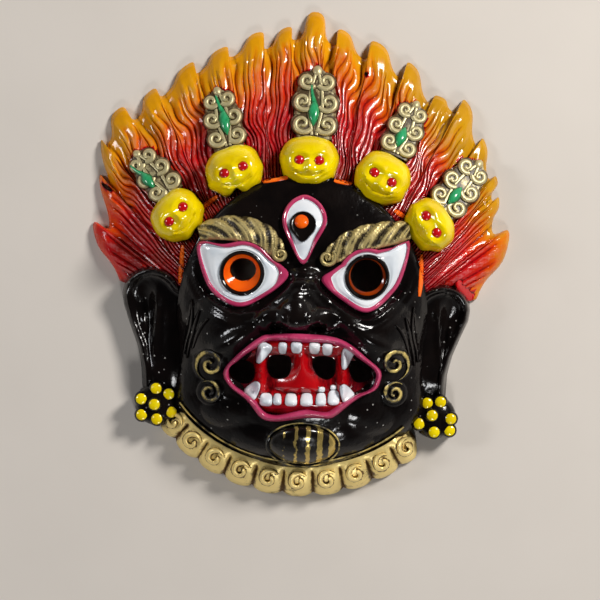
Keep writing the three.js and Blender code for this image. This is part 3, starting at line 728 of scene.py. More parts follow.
def jaw_height(x, y):
    dx = (x - JAW_CENTRE[0]) / JAW_HALF_WIDTH
    rho = np.hypot((x - JAW_CENTRE[0]) / JAW_RADII[0], np.minimum(0, y - JAW_CENTRE[1]) / JAW_RADII[1])
    return JAW_EDGE_Z + JAW_RISE * np.maximum(0, 1 - np.maximum(np.abs(dx), rho) ** 3.2) ** 0.6


def skin(x, y):
    """Face and jaw run into each other, with a few mounds on the lower cheeks."""
    face, jaw = face_form(x, y), jaw_height(x, y) + 0.2
    mounds = sum(MOUND_RISE * swell(x, y, at, (14, 10)) for at in MOUNDS)
    return (face + jaw + np.sqrt((face - jaw) ** 2 + 9)) / 2 + mounds


def nostril(x, y, at):
    return smooth(1, 0.4, np.hypot((x - at[0]) / 6.2, (y - at[1] + 0.8) / 3.8))


def face_relief(x, y):
    z = mix(face_form(x, y), skin(x, y), smooth(-40, -60, y))
    below = smooth(-8, -22, y)
    for line in EYE_LINES:
        gap = gap_to_line(x, y, line[::2])
        folds = 1.7 * bell((gap - 5.4) / 1.9) - 1.2 * bell((gap - 2.4) / 1.3) + 1.0 * bell((gap - 10) / 1.8)
        z = z + below * folds
    creases = 1.1 * np.cos((y + 6) * 2 * np.pi / 6.5)
    z = z + creases * bell((x - 1.6) / 8) * smooth(-4, -9, y) * smooth(-27, -22, y)
    z = z + 2.8 * np.sqrt(swell(x, y, NOSE_TIP, (10.5, 9)))
    for wing in NOSE_WINGS:
        z = z + WING_RISE * np.sqrt(swell(x, y, wing, (10.5, 8)))
    for at in NOSTRILS:
        z = z - NOSTRIL_DEPTH * nostril(x, y, at)
    for fold in SMILE_FOLDS:
        z = z + FOLD_RISE * bell(gap_to_line(x, y, spline(fold, 40)) / 4.2)
    return z - MOUTH_DEPTH * inside_mouth(x, y) - IRIS_DEPTH * inside_iris(x, y, 10, 8)


def face_place(u, v):
    ex, ey = spread_on_disc(u, v)
    x = FACE_CENTRE[0] + FACE_OVERLAP * FACE_RADII[0] * ex
    y = FACE_CENTRE[1] + FACE_OVERLAP * FACE_RADII[1] * ey
    return x, y, face_relief(x, y)


def jaw_place(u, v):
    bend = np.maximum(0, (v - JAW_BEND) / 0.6) * np.pi / 2
    half = np.minimum(JAW_HALF_WIDTH, JAW_RADII[0] * np.cos(bend))
    x = JAW_CENTRE[0] + half * np.sin(np.pi * (u - 0.5))
    straight = mix(-8, JAW_CENTRE[1], v / JAW_BEND)
    y = np.where(v < JAW_BEND, straight, JAW_CENTRE[1] - JAW_RADII[1] * np.sin(bend))
    return x, y, jaw_height(x, y)


face = sheet_block("face", 104, 122, face_place, "black_enamel")
jaw = sheet_block("jaw", 44, 44, jaw_place, "black_enamel")
print("face:", len(face.data.polygons), "faces; jaw:", len(jaw.data.polygons))

# %% [markdown]
# ## Eyes
# Each eye is made of rings of points drawn round its iris: the sunk iris, a black rim, the white ball, and
# the pink lid line that a brush would follow. The rings keep the paint borders smooth without any texture.

# %% Eye blocks
# Middle of each iris, inner corner of the eye, and paint of the iris. The right iris is painted a darker
# orange, as painted shade, since its wall lies in shadow.
IRISES = [(IRIS_MIDDLES[0], (-7, -14.2), "orange_enamel"), (IRIS_MIDDLES[1], (13.4, -16.6), "shaded_orange_enamel")]
IRIS_RIM = 13.2
EYE_COLUMNS = 96
EYE_ROWS = 36
EYE_PAINT_ENDS = [0.28, 0.435, 0.82, 0.97]
# Going out along v: the steps, their rise above the face, and their reach. The reach is in millimetres as
# far as the iris rim, and from there a share of the white; the lid's is a share of the lid's own width.
EYE_STEPS = np.array([0, 0.12, 0.26, 0.30, 0.36, 0.42, 0.45, 0.58, 0.70, 0.80, 0.84, 0.90, 0.96, 1])
EYE_RISES = np.array([-4, 0.4, 3.0, 4.2, 5.0, 4.2, 3.0, 3.6, 3.2, 2.0, 2.8, 3.8, 2.8, -2])
EYE_REACH = np.array([0, 7.2, 10.7, 11.1, 12.2, 13.2, 0.03, 0.35, 0.7, 1, 1, 1, 1, 1])
LID_REACH = np.array([0, 0, 0, 0, 0, 0, 0, 0, 0, 0, 0.08, 0.5, 1, 1.25])


def eye_block(name, line, centre, corner, iris):
    angles = np.unwrap(np.arctan2(line[:, 1] - centre[1], line[:, 0] - centre[0]))
    hand = np.sign(angles[-1] - angles[0])
    steady = np.maximum.accumulate(hand * angles)
    reaches = np.hypot(line[:, 0] - centre[0], line[:, 1] - centre[1])

    def place(u, v):
        around = steady[0] + 2 * np.pi * u
        reach = np.interp(around, steady, reaches)
        cx, cy = np.cos(hand * around), np.sin(hand * around)
        ex, ey = centre[0] + cx * reach, centre[1] + cy * reach
        lid = 2.7 + 3.0 * bell(np.hypot(ex - corner[0], ey - corner[1]) / 6)
        white_end = np.maximum(reach - lid, IRIS_RIM + 1.2)
        inner = np.interp(v, EYE_STEPS[:6], EYE_REACH[:6])
        outer = mix(IRIS_RIM, white_end, np.interp(v, EYE_STEPS[5:], np.r_[0, EYE_REACH[6:]]))
        outer = outer + lid * np.interp(v, EYE_STEPS, LID_REACH)
        r = np.where(v <= EYE_STEPS[5], inner, outer)
        x, y = centre[0] + cx * r, centre[1] + cy * r
        return x, y, face_form(x, y) + np.interp(v, EYE_STEPS, EYE_RISES)

    paint = bands([iris, "black_enamel", "white_enamel", "pink_enamel", "black_enamel"], EYE_PAINT_ENDS)
    return sheet_block(name, EYE_COLUMNS, EYE_ROWS, place, paint)


for name, line, iris in zip(("left_eye", "right_eye"), EYE_LINES, IRISES):
    eye = eye_block(name, line, *iris)
    print(name, len(eye.data.polygons), "faces")

# %% Third eye
THIRD_EYE = [(1.5, 33.6), (-7.6, 28.6), (-11.4, 18), (-6.5, 5), (1.8, -7.6), (9, 5), (14.9, 18), (11, 28.6)]
THIRD_IRIS = (0.8, 15.8)
THIRD_LINE = spline(THIRD_EYE, 160, closed=True)
THIRD_LID = 2.9
THIRD_STEPS = [0, 0.4, 0.7, 0.74, 0.85, 0.95, 1]
THIRD_RISES = [4.2, 3.6, 2.2, 3.0, 4.0, 3.2, -2]


def third_eye_place(u, v):
    ex, ey = along_line(THIRD_LINE, u)
    reach = np.hypot(ex - THIRD_IRIS[0], ey - THIRD_IRIS[1])
    offset = np.interp(v, [0, 0.7, 0.95, 1], [0, 1, 2, 2.2])
    white_end = reach - THIRD_LID
    r = np.where(offset < 1, white_end * offset, white_end + THIRD_LID * (offset - 1))
    x = THIRD_IRIS[0] + (ex - THIRD_IRIS[0]) / reach * r
    y = THIRD_IRIS[1] + (ey - THIRD_IRIS[1]) / reach * r
    return x, y, face_form(x, y) + np.interp(v, THIRD_STEPS, THIRD_RISES)


def third_iris_place(u, v):
    angle = 2 * np.pi * u
    drop = np.angle(np.exp(1j * (angle + np.pi / 2)))
    r = 8.3 * (1 + 0.34 * bell(drop / 0.42)) * v
    x, y = THIRD_IRIS[0] + r * np.cos(angle), THIRD_IRIS[1] + r * np.sin(angle)
    ring = 0.6 * bell((v - 0.86) / 0.1)
    return x, y, face_form(x, y) + 4.4 + ring - 3 * smooth(0.95, 1, v)


third_eye_paint = bands(["white_enamel", "pink_enamel", "black_enamel"], [0.72, 0.965])
sheet_block("third_eye", 72, 22, third_eye_place, third_eye_paint)
sheet_block("third_iris", 48, 12, third_iris_place, "black_enamel")
pebble("third_pupil", (0, 17.4), (4.2, 4.2), over(face_form, 4.2), 2.4, "orange_enamel")
print("third eye made")

# %% [markdown]
# ## Brows
# Each brow is a roll of hair along a bent line, combed into locks that lean outwards. A wave that slants
# across the roll rounds every lock like a leaf, and a finer one scores it with hair lines. The inner end
# rolls up in a small spiral.

# %% Brow blocks
BROWS = {
    "left_brow": [(-11, -3), (-16, 2), (-23.5, 8), (-35, 11.6), (-48, 11.8), (-60.5, 8.5)],
    "right_brow": [(15, -4.5), (21.5, 0), (31, 5.8), (44, 10.4), (56, 13), (64.5, 14.6)],
}
BROW_HALF_WIDTHS = [3.6, 6.6, 8.4, 8.4, 7.6, 4.6]
BROW_LOCKS = 5.4
HAIRS_PER_LOCK = 3


def brow_block(name, points):
    line = spline(points, 160)
    outward = -1 if points[-1][0] < 0 else 1
    way = np.gradient(line, axis=0)
    up = np.stack([-way[:, 1], way[:, 0]], 1) * outward / np.hypot(way[:, 0], way[:, 1])[:, None]

    def place(u, v):
        t = 2 * v - 1
        phase = BROW_LOCKS * u - 1.5 * v**1.5
        lock = phase - np.floor(phase)
        leaf = np.sin(np.pi * lock**0.8) ** 0.5
        hairs = 0.5 + 0.5 * np.cos(2 * np.pi * HAIRS_PER_LOCK * lock)
        wide = np.interp(u, np.linspace(0, 1, len(BROW_HALF_WIDTHS)), BROW_HALF_WIDTHS)
        wide = wide * mix(1, 0.88 + 0.2 * leaf, smooth(0.3, 1, t))
        mx, my = along_line(line, u)
        nx, ny = along_line(up, u)
        x, y = mx + nx * wide * t, my + ny * wide * t
        combed = smooth(-0.8, -0.5, t)
        roll = np.sqrt(np.maximum(0, 1 - t**4))
        rise = roll * (2.0 + combed * leaf * (2.4 + 0.9 * hairs) + 1.8 * (1 - combed)) - 1
        crest = mix(0.6, leaf * (0.4 + 0.4 * hairs), combed)
        return x, y, face_form(x, y) + rise, crest

    sheet_block(name, 170, 16, place, "brow_gold")


# Middle, radius, bearing of the open end, and hand of each curl.
BROW_CURLS = {"left_brow_curl": ((-11.8, -2.2), 4.4, 130, 1), "right_brow_curl": ((15.8, -3.4), 5.4, 50, -1)}
for name, points in BROWS.items():
    brow_block(name, points)
for name, (at, radius, start, hand) in BROW_CURLS.items():
    line = spiral(at, radius, 1.2, 1.3, start, hand)
    ribbon(name, line, lambda u: mix(1.6, 1.1, u), over(face_form, 1.6), 3.0, "brow_gold", 40, 6)
print("brows combed")

# %% [markdown]
# ## Mouth
# A rounded pink lip runs all round an open red mouth. Inside it the gums carry two rows of teeth with a long
# fang at each end, and four openings go right through the casting on either side of the tongue.

# %% Lips and gums
LIP_START = 0.62
LIP_END = 0.97
GUM_FLOOR = -6


def gum_rise(x, y):
    upper = 8 * bell((y + 54.5) / 5.4)
    lower = 7.5 * bell((y + 90.5) / 5.6)
    tongue = 7 * bell((x - 3) / mix(3.4, 12, smooth(-66, -80, y))) * smooth(-86, -80, y) * smooth(-52, -58, y)
    posts = 6 * bell((x + 21) / 3) + 6 * bell((x - 27.6) / 2.8)
    return GUM_FLOOR + np.maximum.reduce([upper, lower, tongue, posts])


def mouth_place(u, v):
    ex, ey = along_line(LIP_LINE, u)
    dx, dy = ex - MOUTH_MIDDLE[0], ey - MOUTH_MIDDLE[1]
    reach = np.hypot(dx, dy)
    lip = 3.2 + 1.6 * np.abs(dy / reach) ** 1.5
    t = np.clip((v - LIP_START) / (LIP_END - LIP_START), 0, 1)
    tuck = smooth(LIP_END, 1, v)
    r = np.where(v < LIP_START, (reach - lip) * v / LIP_START, reach - lip + lip * t + 0.8 * tuck)
    x, y = MOUTH_MIDDLE[0] + dx / reach * r, MOUTH_MIDDLE[1] + dy / reach * r
    roll = 1.2 + 5.2 * np.sin(np.pi * mix(0.06, 0.9, t)) ** 0.8
    gum = gum_rise(x, y)
    rise = np.where(v < LIP_START, gum, roll - 5 * tuck)
    # The crest value is kept low deep in the mouth, so the red darkens there as painted shade, and it rises
    # on the lip's roll.
    crest = np.where(v < LIP_START, 0.06 + 0.08 * (gum - GUM_FLOOR), 0.4 + 0.4 * np.sin(np.pi * t))
    return x, y, face_form(x, y) + rise, crest


def tooth_seat(x, y):
    return face_form(x, y) + gum_rise(x, y) - 0.4


mouth_paint = bands(["red_enamel", "pink_enamel", "black_enamel"], [LIP_START, 0.98])
sheet_block("mouth", 128, 44, mouth_place, mouth_paint)

# %% Teeth
# Middle, width and height, lean in degrees, and taper of each tooth.
TEETH = [
    ((-20.4, -60.7), (7.2, 13.6), -24, 0.45), ((-8.5, -57.4), (5, 7.4), 0, 0.12),
    ((-0.4, -56.8), (6.6, 7.2), 0, 0.12), ((10.2, -56.7), (6.4, 7.4), 0, 0.12),
    ((17.8, -57.2), (6.2, 7.6), 0, 0.12), ((29.3, -62.6), (6.2, 13), -12, 0.45),
    ((-25.4, -83), (7.8, 12), -35, -0.4), ((-17.3, -88.3), (7.6, 8), 0, -0.1),
    ((-10.6, -87.8), (5, 7), 0, -0.1), ((-2.5, -87.7), (7.2, 8), 0, -0.1),
    ((6.6, -87.4), (7.4, 8), 0, -0.1), ((15.1, -87), (6.2, 8), 0, -0.1),
    ((22.6, -85.8), (7, 9), 0, -0.1), ((30.2, -83.2), (7.6, 12.4), 30, -0.4),
    ((15.4, -81.2), (4, 3.4), 0, 0), ((22.2, -79.9), (3.6, 3.2), 0, 0),
]
TOOTH_RISE = 3.8
STUB_RISE = 2.4
for i, (at, size, lean, taper) in enumerate(TEETH):
    tall = TOOTH_RISE if size[1] > 4 else STUB_RISE
    pebble(f"tooth_{i + 1}", at, (size[0] / 2, size[1] / 2), tooth_seat, tall, "white_enamel", turn=lean,
           square=0.62, taper=taper, around=20, rings=6)
print(len(TEETH), "teeth set")

# %% [markdown]
# ## Cheek curls and chin
# Two spirals of beard curl on each cheek, black with gold rubbed over their ridges, and three combed black
# locks run down beside them. A boss with strokes of gold stands on the chin inside a thin gold line.

# %% Cheek curls and chin
# Middle, radius, bearing of the open end, and hand of each curl.
CURLS = [((-51.6, -69), 11.6, 250, -1), ((-51.6, -85.6), 8.6, 130, -1), ((58.6, -64.8), 11.6, -70, 1),
         ((59.2, -82.6), 8.6, 50, 1)]
# The locks of the right cheek; the left ones are their mirror image.
SIDE_LOCKS = [
    [(69, -30.5), (68.6, -40.3), (69.9, -48.3), (72, -55.3), (73.4, -64)],
    [(64, -37), (65.8, -43), (68, -50.4), (70, -57.3), (71.2, -66)],
    [(58.2, -41.7), (62.4, -46.5), (65.6, -52.9), (67.8, -60)],
]
CHIN = (5.4, -115.6)
CHIN_RADII = (20.5, 12.5)


def curl_half_width(u):
    return mix(2.2, 1.3, u) * mix(0.15, 1, smooth(0, 0.2, u))


def curl_height(u):
    return 3.4 * mix(0.3, 1, smooth(0, 0.25, u))


def lock_half_width(u):
    return 1.5 * np.sin(np.pi * mix(0.12, 0.88, u))


for i, (at, radius, start, hand) in enumerate(CURLS):
    pebble(f"curl_{i + 1}_ground", at, (radius, radius), over(skin, -0.8), 2.2, "black_enamel", around=32)
    line = spiral(at, radius - 1.4, 1.2, 1.6, start, hand)
    ribbon(f"curl_{i + 1}", line, curl_half_width, over(skin, 0.9), curl_height, "gold_on_black", 72, 6)
for i, lock in enumerate(SIDE_LOCKS):
    for side, hand in (("left", -1), ("right", 1)):
        line = spline([(FACE_CENTRE[0] + hand * (x - FACE_CENTRE[0]), y) for x, y in lock], 60)
        ribbon(f"{side}_lock_{i + 1}", line, lock_half_width, face_relief, 1.7, "black_enamel", 20, 4,
               low=0.5, high=0.6)
pebble("chin", CHIN, CHIN_RADII, over(skin, -1), 10, "chin_strokes", around=44, rings=12)
chin_line = oval(CHIN, [radius + 1.4 for radius in CHIN_RADII], count=119)
ribbon("chin_rim", chin_line, 0.9, skin, 1.2, "gold_on_black", 90, 4)
print("curls and chin made")

# %% [markdown]
# ## Ears and earrings
# The ears are long flaps with a rolled rim. Each lobe carries a round cluster of seven black beads, with a
# dab of yellow on every one.

# %% Ears
EARS = {
    "left_ear": {"top": (-90, -11), "lobe": (-85.5, -92), "side": -1,
                 "outer": (20, 19.6, 18.6, 15, 10.8, 8.8, 8.4)},
    "right_ear": {"top": (88.5, -16), "lobe": (86, -90), "side": 1,
                  "outer": (18, 17.6, 16.6, 12.2, 8.2, 6, 6)},
}
EAR_STEPS = (0, 0.2, 0.3, 0.45, 0.6, 0.75, 1)
EAR_INNER = 21
EAR_ROUND = 0.26


def ear_plan(u, v, top, lobe, outer, side, inset=0):
    across = mix(1, -1, u)
    rounding = np.sqrt(1 - (1 - np.minimum(1, (v + 0.003) / EAR_ROUND)) ** 2)
    half = np.where(across > 0, np.interp(v, EAR_STEPS, outer), EAR_INNER)
    offset = across * np.maximum(half * rounding - inset, 0.8)
    return mix(top[0], lobe[0], v) + side * offset, mix(top[1], lobe[1], v), across * rounding, half


def ear_form(across, v):
    inward = (1 - across) / 2
    slope = mix(8.5, 22.5, inward) + 6 * smooth(0.36, 0.04, v) - mix(2.8, 8, inward) * smooth(0.7, 1, v)
    slope = slope - 5 * smooth(-0.4, -1, across) * smooth(0.1, 0.4, v)
    return slope - 4.4 * bell((across - 0.2) / 0.34) * bell((v - 0.34) / 0.2)


def ear_block(name, ear):
    def place(u, v):
        v = v**1.3
        x, y, across, half = ear_plan(u, v, **ear)
        inner_edge = np.minimum(across, 0) * smooth(0.32, 0.16, v)
        rho = np.hypot(np.maximum(across, 0) + inner_edge, np.maximum(0, 1 - v / EAR_ROUND))
        from_edge = np.maximum(0, 1 - rho) * half
        helix = 4 * bell((from_edge - 3.4) / 2.6)
        from_fold = across + 0.1 - 0.35 * (v - 0.3)
        fold = 3.6 * bell(from_fold / 0.13) * smooth(0.12, 0.28, v) * smooth(0.75, 0.5, v)
        knob = 2.8 * bell(np.hypot((across - 0.38) / 0.15, (v - 0.42) / 0.08))
        lobe = 2.4 * bell(np.hypot((across - 0.1) / 0.4, (v - 0.82) / 0.09))
        z = ear_form(across, v) + helix + fold + knob + lobe
        return x, y, mix(mix(EDGE, z, 0.5), z, np.sqrt(smooth(0, 2.5, from_edge)))

    sheet_block(name, 34, 56, place, "black_enamel")


for name, ear in EARS.items():
    ear_block(name, ear)

# %% Earrings
# Middle of each cluster, and of its beads.
BEADS = {
    "left": ((-85, -95.2), [(-85, -85.6), (-77.2, -88.7), (-93.8, -92.2), (-85.5, -95.2), (-75.2, -99.7),
                            (-93.3, -101.9), (-83.9, -104.1)]),
    "right": ((85.5, -97.5), [(80.3, -88.8), (88.4, -87.8), (83.4, -96), (95, -97.8), (75.9, -101.5),
                              (85.1, -106.2), (94.6, -105)]),
}
CLUSTER_RADIUS = 13.5
CLUSTER_HEIGHT = 17
BEAD_RADIUS = 4.7
bead_paint = bands(["lemon_enamel", "black_enamel"], [0.5])
for side, (middle, beads) in BEADS.items():
    pebble(f"{side}_earring", middle, (CLUSTER_RADIUS,) * 2, 0, CLUSTER_HEIGHT, "black_enamel", flat=0.4,
           around=36, rings=10)
    for i, at in enumerate(beads):
        off = min(math.dist(at, middle) / CLUSTER_RADIUS, 1)
        seat = CLUSTER_HEIGHT * (1 - 0.9 * off**2) ** 0.2 - 2.2
        pebble(f"{side}_bead_{i + 1}", at, (BEAD_RADIUS,) * 2, seat, 4.2, bead_paint, around=20, rings=8)
print("earrings beaded")

# %% [markdown]
# ## Beard
# A gilded band of ten rounded lobes hangs under the jaw, each with a scroll on it, and a thin raised line
# runs along its inner edge.

# %% Beard
BEARD_INNER = (90, 77.5)
BEARD_OUTER = (105.6, 96.6)
BEARD_ARC = (212, 318)
BEARD_LOBES = 10
BEARD_Z = (22, 5.5)
BEARD_START = -0.06
COLUMNS_PER_LOBE = 14


def beard_plan(share, across, reach=0):
    angle = np.radians(mix(*BEARD_ARC, share))
    rx, ry = (mix(BEARD_INNER[i], BEARD_OUTER[i] - reach, across) for i in (0, 1))
    return JAW_CENTRE[0] + rx * np.cos(angle), JAW_CENTRE[1] + ry * np.sin(angle)


def beard_height(share, v):
    """The roll of the beard, which sinks under the earrings at its two ends."""
    roll = mix(15, 4, v) + 6.5 * np.sin(np.pi * np.clip(mix(0.12, 1, v), 0, 1)) ** 0.6
    return roll * (1 - 0.5 * smooth(0.84, 0.98, np.abs(2 * share - 1)))


def beard_ground(x, y):
    dx, dy = x - JAW_CENTRE[0], y - JAW_CENTRE[1]
    inner = np.hypot(dx / BEARD_INNER[0], dy / BEARD_INNER[1])
    outer = np.hypot(dx / BEARD_OUTER[0], dy / BEARD_OUTER[1])
    across = (1 - 1 / inner) / (1 / outer - 1 / inner)
    bearing = np.degrees(np.arctan2(dy / BEARD_INNER[1], dx / BEARD_INNER[0])) % 360
    share = (bearing - BEARD_ARC[0]) / (BEARD_ARC[1] - BEARD_ARC[0])
    return beard_height(share, np.clip((across - BEARD_START) / (1 - BEARD_START), 0, 1))


def beard_place(u, v):
    across = mix(BEARD_START, 1, v)
    within = u * BEARD_LOBES - np.floor(np.minimum(u * BEARD_LOBES, BEARD_LOBES - 1e-6))
    scallop = 1 - np.sin(np.pi * within)
    taper = 5 * smooth(0.9, 1, np.abs(2 * u - 1))
    x, y = beard_plan(u, across, (2.8 * scallop**1.5 + taper) * smooth(0.3, 1, across))
    groove = bell(np.minimum(within, 1 - within) / 0.07) * smooth(0.02, 0.2, across)
    z = beard_height(u, v) - 1.4 * scallop * np.sin(np.pi * v) - 2.6 * groove
    return x, y, mix(z, EDGE - 1, smooth(0.9, 1, v)), 0.6 - 0.6 * groove


def scroll_half_width(u):
    return mix(1.9, 1.5, u) * mix(0.3, 1, smooth(0, 0.2, u))


sheet_block("beard", BEARD_LOBES * COLUMNS_PER_LOBE, 20, beard_place, "beard_gold")
for i in range(BEARD_LOBES):
    share = (i + 0.5) / BEARD_LOBES
    middle = beard_plan(np.array(share), 0.47)
    line = spiral(middle, 6.2, 1.6, 1.05, mix(*BEARD_ARC, share) + 130, 1)
    ribbon(f"beard_scroll_{i + 1}", line, scroll_half_width, beard_ground, 3.2, "beard_gold", 40, 6, low=0.0)
rim_line = np.stack(beard_plan(np.linspace(0.01, 0.99, 140), -0.2), 1)
ribbon("beard_line", rim_line, 0.8, skin, 1.6, "gold_on_black", 120, 4, low=0.7)
print("beard made")

# %% [markdown]
# ## Skulls
# Five small skulls sit along the hairline. Each is a round sheet pressed up into a dome, with brows, sunk
# sockets, a nose and the creases of a grin, and two red balls for eyes. The second one has a bite out of
# its jaw.

# %% Skulls
# Middle, turn in degrees, and width and height of each skull.
SKULLS = [((-74.3, 19.3), 49, (34, 30)), ((-41.2, 46.8), 23, (36, 32)), ((3.3, 54), 0, (37, 33)),
          ((47.2, 45.3), -28, (35, 33)), ((76.7, 18.7), -56, (34, 28))]
SKULL_BASE_Z = 27
SKULL_DEPTH = 19
SKULL_EYE_GAP = 11.4
SKULL_EYE_RADIUS = 3.4
BITTEN_SKULL, BITE_BEARING, BITE_SPREAD, BITE_DEPTH = 1, -1.81, 0.26, 0.42


def skull_block(name, at, turn, size, bite):
    def place(u, v):
        ex, ey = spread_on_disc(u, v)
        rho = np.minimum(np.hypot(ex, ey), 1)
        around = np.arctan2(ey, ex)
        square = (np.abs(np.cos(around)) ** 2.5 + np.abs(np.sin(around)) ** 2.5) ** (-1 / 2.5)
        chips = 0.022 * np.sin(5 * around + turn) + 0.026 * np.sin(9 * around + 2.3 * turn)
        chipped = chips * mix(0.35, 1, smooth(0.2, -0.5, ey))
        ragged = 0.98 + rho**4 * (chipped - bite * bell((around - BITE_BEARING) / BITE_SPREAD))
        narrow = 1 - 0.14 * smooth(-0.1, -0.9, ey)
        lx, ly = ex * square * ragged * narrow * size[0] / 2, ey * square * ragged * size[1] / 2
        off = np.abs(lx)
        sockets = bell((off - SKULL_EYE_GAP / 2) / 3.8) * bell((ly - 0.2) / 3.4)
        brow = bell((ly - 5.4 + 0.05 * (off - 6) ** 2) / 1.7) * smooth(13, 9, off)
        nose = bell(lx / mix(1.3, 2.6, smooth(1, -5, ly))) * smooth(3, -4, ly) * smooth(-7.4, -5.4, ly)
        cheeks = bell((off - 8.6) / 3) * bell((ly + 5) / 2.6)
        smile = ly + 9 - 0.035 * lx**2
        crease = bell(smile / 0.9) * smooth(10, 7, off)
        ripples = np.cos(2 * np.pi * smile / 2.8) * bell((off - 9.5) / 3) * smooth(0, -5, ly)
        relief = 0.9 * brow + 2.0 * nose + 1.4 * cheeks - 2.2 * sockets - 1.3 * crease - 0.5 * ripples
        dome = SKULL_DEPTH * np.maximum(0, 1 - rho**3.2) ** 0.5
        z = SKULL_BASE_Z + dome + relief * smooth(1, 0.8, rho) - 3 * smooth(0.97, 1, rho)
        # Sockets, creases and ripples get a low crest, which the enamel paints as shade; the brows get a
        # higher one, lighter as wear and painted highlight.
        crest = 0.62 - 0.35 * crease - 0.3 * sockets - 0.15 * ripples + 0.2 * brow
        return *turned(at, turn, lx, ly), z, crest

    sheet_block(name, 36, 36, place, "lemon_enamel")
    for side in (-0.5, 0.5):
        eye_at = turned(at, turn, side * SKULL_EYE_GAP, 0)
        pebble(f"{name}_eye_{'l' if side < 0 else 'r'}", eye_at, (SKULL_EYE_RADIUS,) * 2,
               SKULL_BASE_Z + SKULL_DEPTH - 3.4, 3.2, "red_enamel", around=16, rings=6)


for i, (at, turn, size) in enumerate(SKULLS):
    skull_block(f"skull_{i + 1}", at, turn, size, BITE_DEPTH if i == BITTEN_SKULL else 0)
print(len(SKULLS), "skulls made")

# %% [markdown]
# ## Scrolled leaves
# Behind each skull stands a leaf of six scrolls with a green gem on its middle line. A low plate makes its
# body, and every scroll is a small boss with a spiral roll on it.

# %% Leaves
# Root, tip, width, and middle of the gem of each leaf. A scroll is a place along and across, and a size.
LEAVES = [((-80, 33.2), (-102.8, 57.9), 22, (-94.2, 40.6)), ((-45.6, 62.6), (-54.6, 98.3), 23, (-48.6, 77.6)),
          ((5.6, 70.9), (6.6, 113.2), 27, (5.1, 84.9)), ((55, 61.9), (67.8, 94.1), 22, (58.4, 71.8)),
          ((84.9, 29.4), (107.8, 59.2), 24, (92, 37.5))]
LEAF_OUT = (0.3, 0.7)
SCROLLS = [(0.16, 0.54, 0.54), (0.49, 0.56, 0.54), (0.80, 0.42, 0.46)]
SIDES = {"r": -1, "l": 1}
LONG_GEM, SHORT_GEM, TAILED_GEMS = 8.6, 7, 3
STEM = [(0.0, 0.1), (0.2, 0.2), (0.42, 0.3), (0.68, 0.24), (0.92, 0.06)]


def leaf_blocks(name, root, tip, width):
    root, tip = np.array(root), np.array(tip)
    length = np.linalg.norm(tip - root)
    axis = (tip - root) / length
    bearing = math.degrees(math.atan2(axis[1], axis[0]))

    def on(along, across):
        step = across * width / 2
        x = root[0] + axis[0] * length * along - axis[1] * step
        y = root[1] + axis[1] * length * along + axis[0] * step
        return x, y

    def ground(x, y):
        along = ((x - root[0]) * axis[0] + (y - root[1]) * axis[1]) / length
        return crown_height(mix(*LEAF_OUT, along))

    def plate(u, v):
        along = mix(-0.05, 1.0, v)
        across = 2 * u - 1
        half = np.interp(along, [0, 0.2, 0.36, 0.55, 0.7, 0.86, 1], [0.8, 0.96, 0.94, 0.98, 0.84, 0.66, 0.2])
        x, y = on(along, across * half)
        return x, y, ground(x, y) + 2.8 + 0.9 * (1 - across**2) - 2 * smooth(0.86, 1, np.abs(across)), 0.22

    sheet_block(name, 14, 30, plate, "leaf_gold")
    pebble(f"{name}_tip", on(0.95, 0), (length * 0.09, width * 0.12), over(ground, 2), 3.4, "leaf_gold",
           turn=bearing, around=20, rings=5, low=0.2)
    for row, (along, across, size) in enumerate(SCROLLS):
        for side, hand in SIDES.items():
            at = on(along, hand * across)
            radius = size * width / 2
            pebble(f"{name}_boss_{row}_{side}", at, (radius, radius), over(ground, 1.6), 2.4, "leaf_gold",
                   around=20, rings=4, low=0.1, high=0.35)
            line = spiral(at, radius - 0.9, 1.1, 1.2, bearing + 180 + hand * 60, -hand)
            ribbon(f"{name}_scroll_{row}_{side}", line, lambda u: mix(2.2, 1.4, u), over(ground, 2.8), 2.8,
                   "leaf_gold", 40, 6, low=0.0)
    for side, hand in SIDES.items():
        stem = spline([on(along, hand * across) for along, across in STEM], 60)
        ribbon(f"{name}_stem_{side}", stem, 1.4, over(ground, 3.4), 1.6, "leaf_gold", 28, 4, low=0.0)
    return ground, axis


def almond(u):
    return np.maximum(np.sin(np.pi * u), 0.02) ** 0.85


for i, (root, tip, width, gem) in enumerate(LEAVES):
    ground, axis = leaf_blocks(f"leaf_{i + 1}", root, tip, width)
    half = np.array(axis) * (LONG_GEM if i in (1, 2) else SHORT_GEM)
    gem_line = np.linspace(np.array(gem) - half, np.array(gem) + half, 60)
    ribbon(f"gem_{i + 1}", gem_line, lambda u: 3.7 * almond(u), over(ground, 4),
           lambda u: 3.4 * almond(u) ** 0.7, "green_enamel", 24, 8, low=0.5)
    if i < TAILED_GEMS:
        sway = np.array([-axis[1], axis[0]])
        tail = spline([gem + half * 0.7, gem + half * 1.35 + sway * 1.6, gem + half * 2.0 + sway * 2.2], 40)
        ribbon(f"gem_tail_{i + 1}", tail, lambda u: mix(1.9, 0.7, u), over(ground, 4), 1.9, "green_enamel",
               18, 6)
print("leaves made")

# %% [markdown]
# ## Painted strokes
# Between the skulls the hairline shows a few raised strokes of orange paint, and a blob of red sits over the
# right ear. They lie on whatever is under them, so rays are dropped on the crown, the face and that ear.

# %% Strokes on the hairline
STROKES = [[(-70.9, 1.7), (-71.2, -9), (-71.9, -21.1)], [(-61.5, 22.9), (-55.5, 28.5), (-50.5, 32)],
           [(-23.9, 41), (-16, 42.8), (-9, 43.9)], [(18.5, 43.1), (24, 42.6), (29.3, 41.7)],
           [(55.5, 27), (59, 25), (62.6, 22.5)], [(72.6, 1.3), (72.8, -11), (72, -24.1)]]
graph = bpy.context.evaluated_depsgraph_get()
grounds = [BVHTree.FromObject(block, graph) for block in (crown, face, bpy.data.objects["right_ear"])]


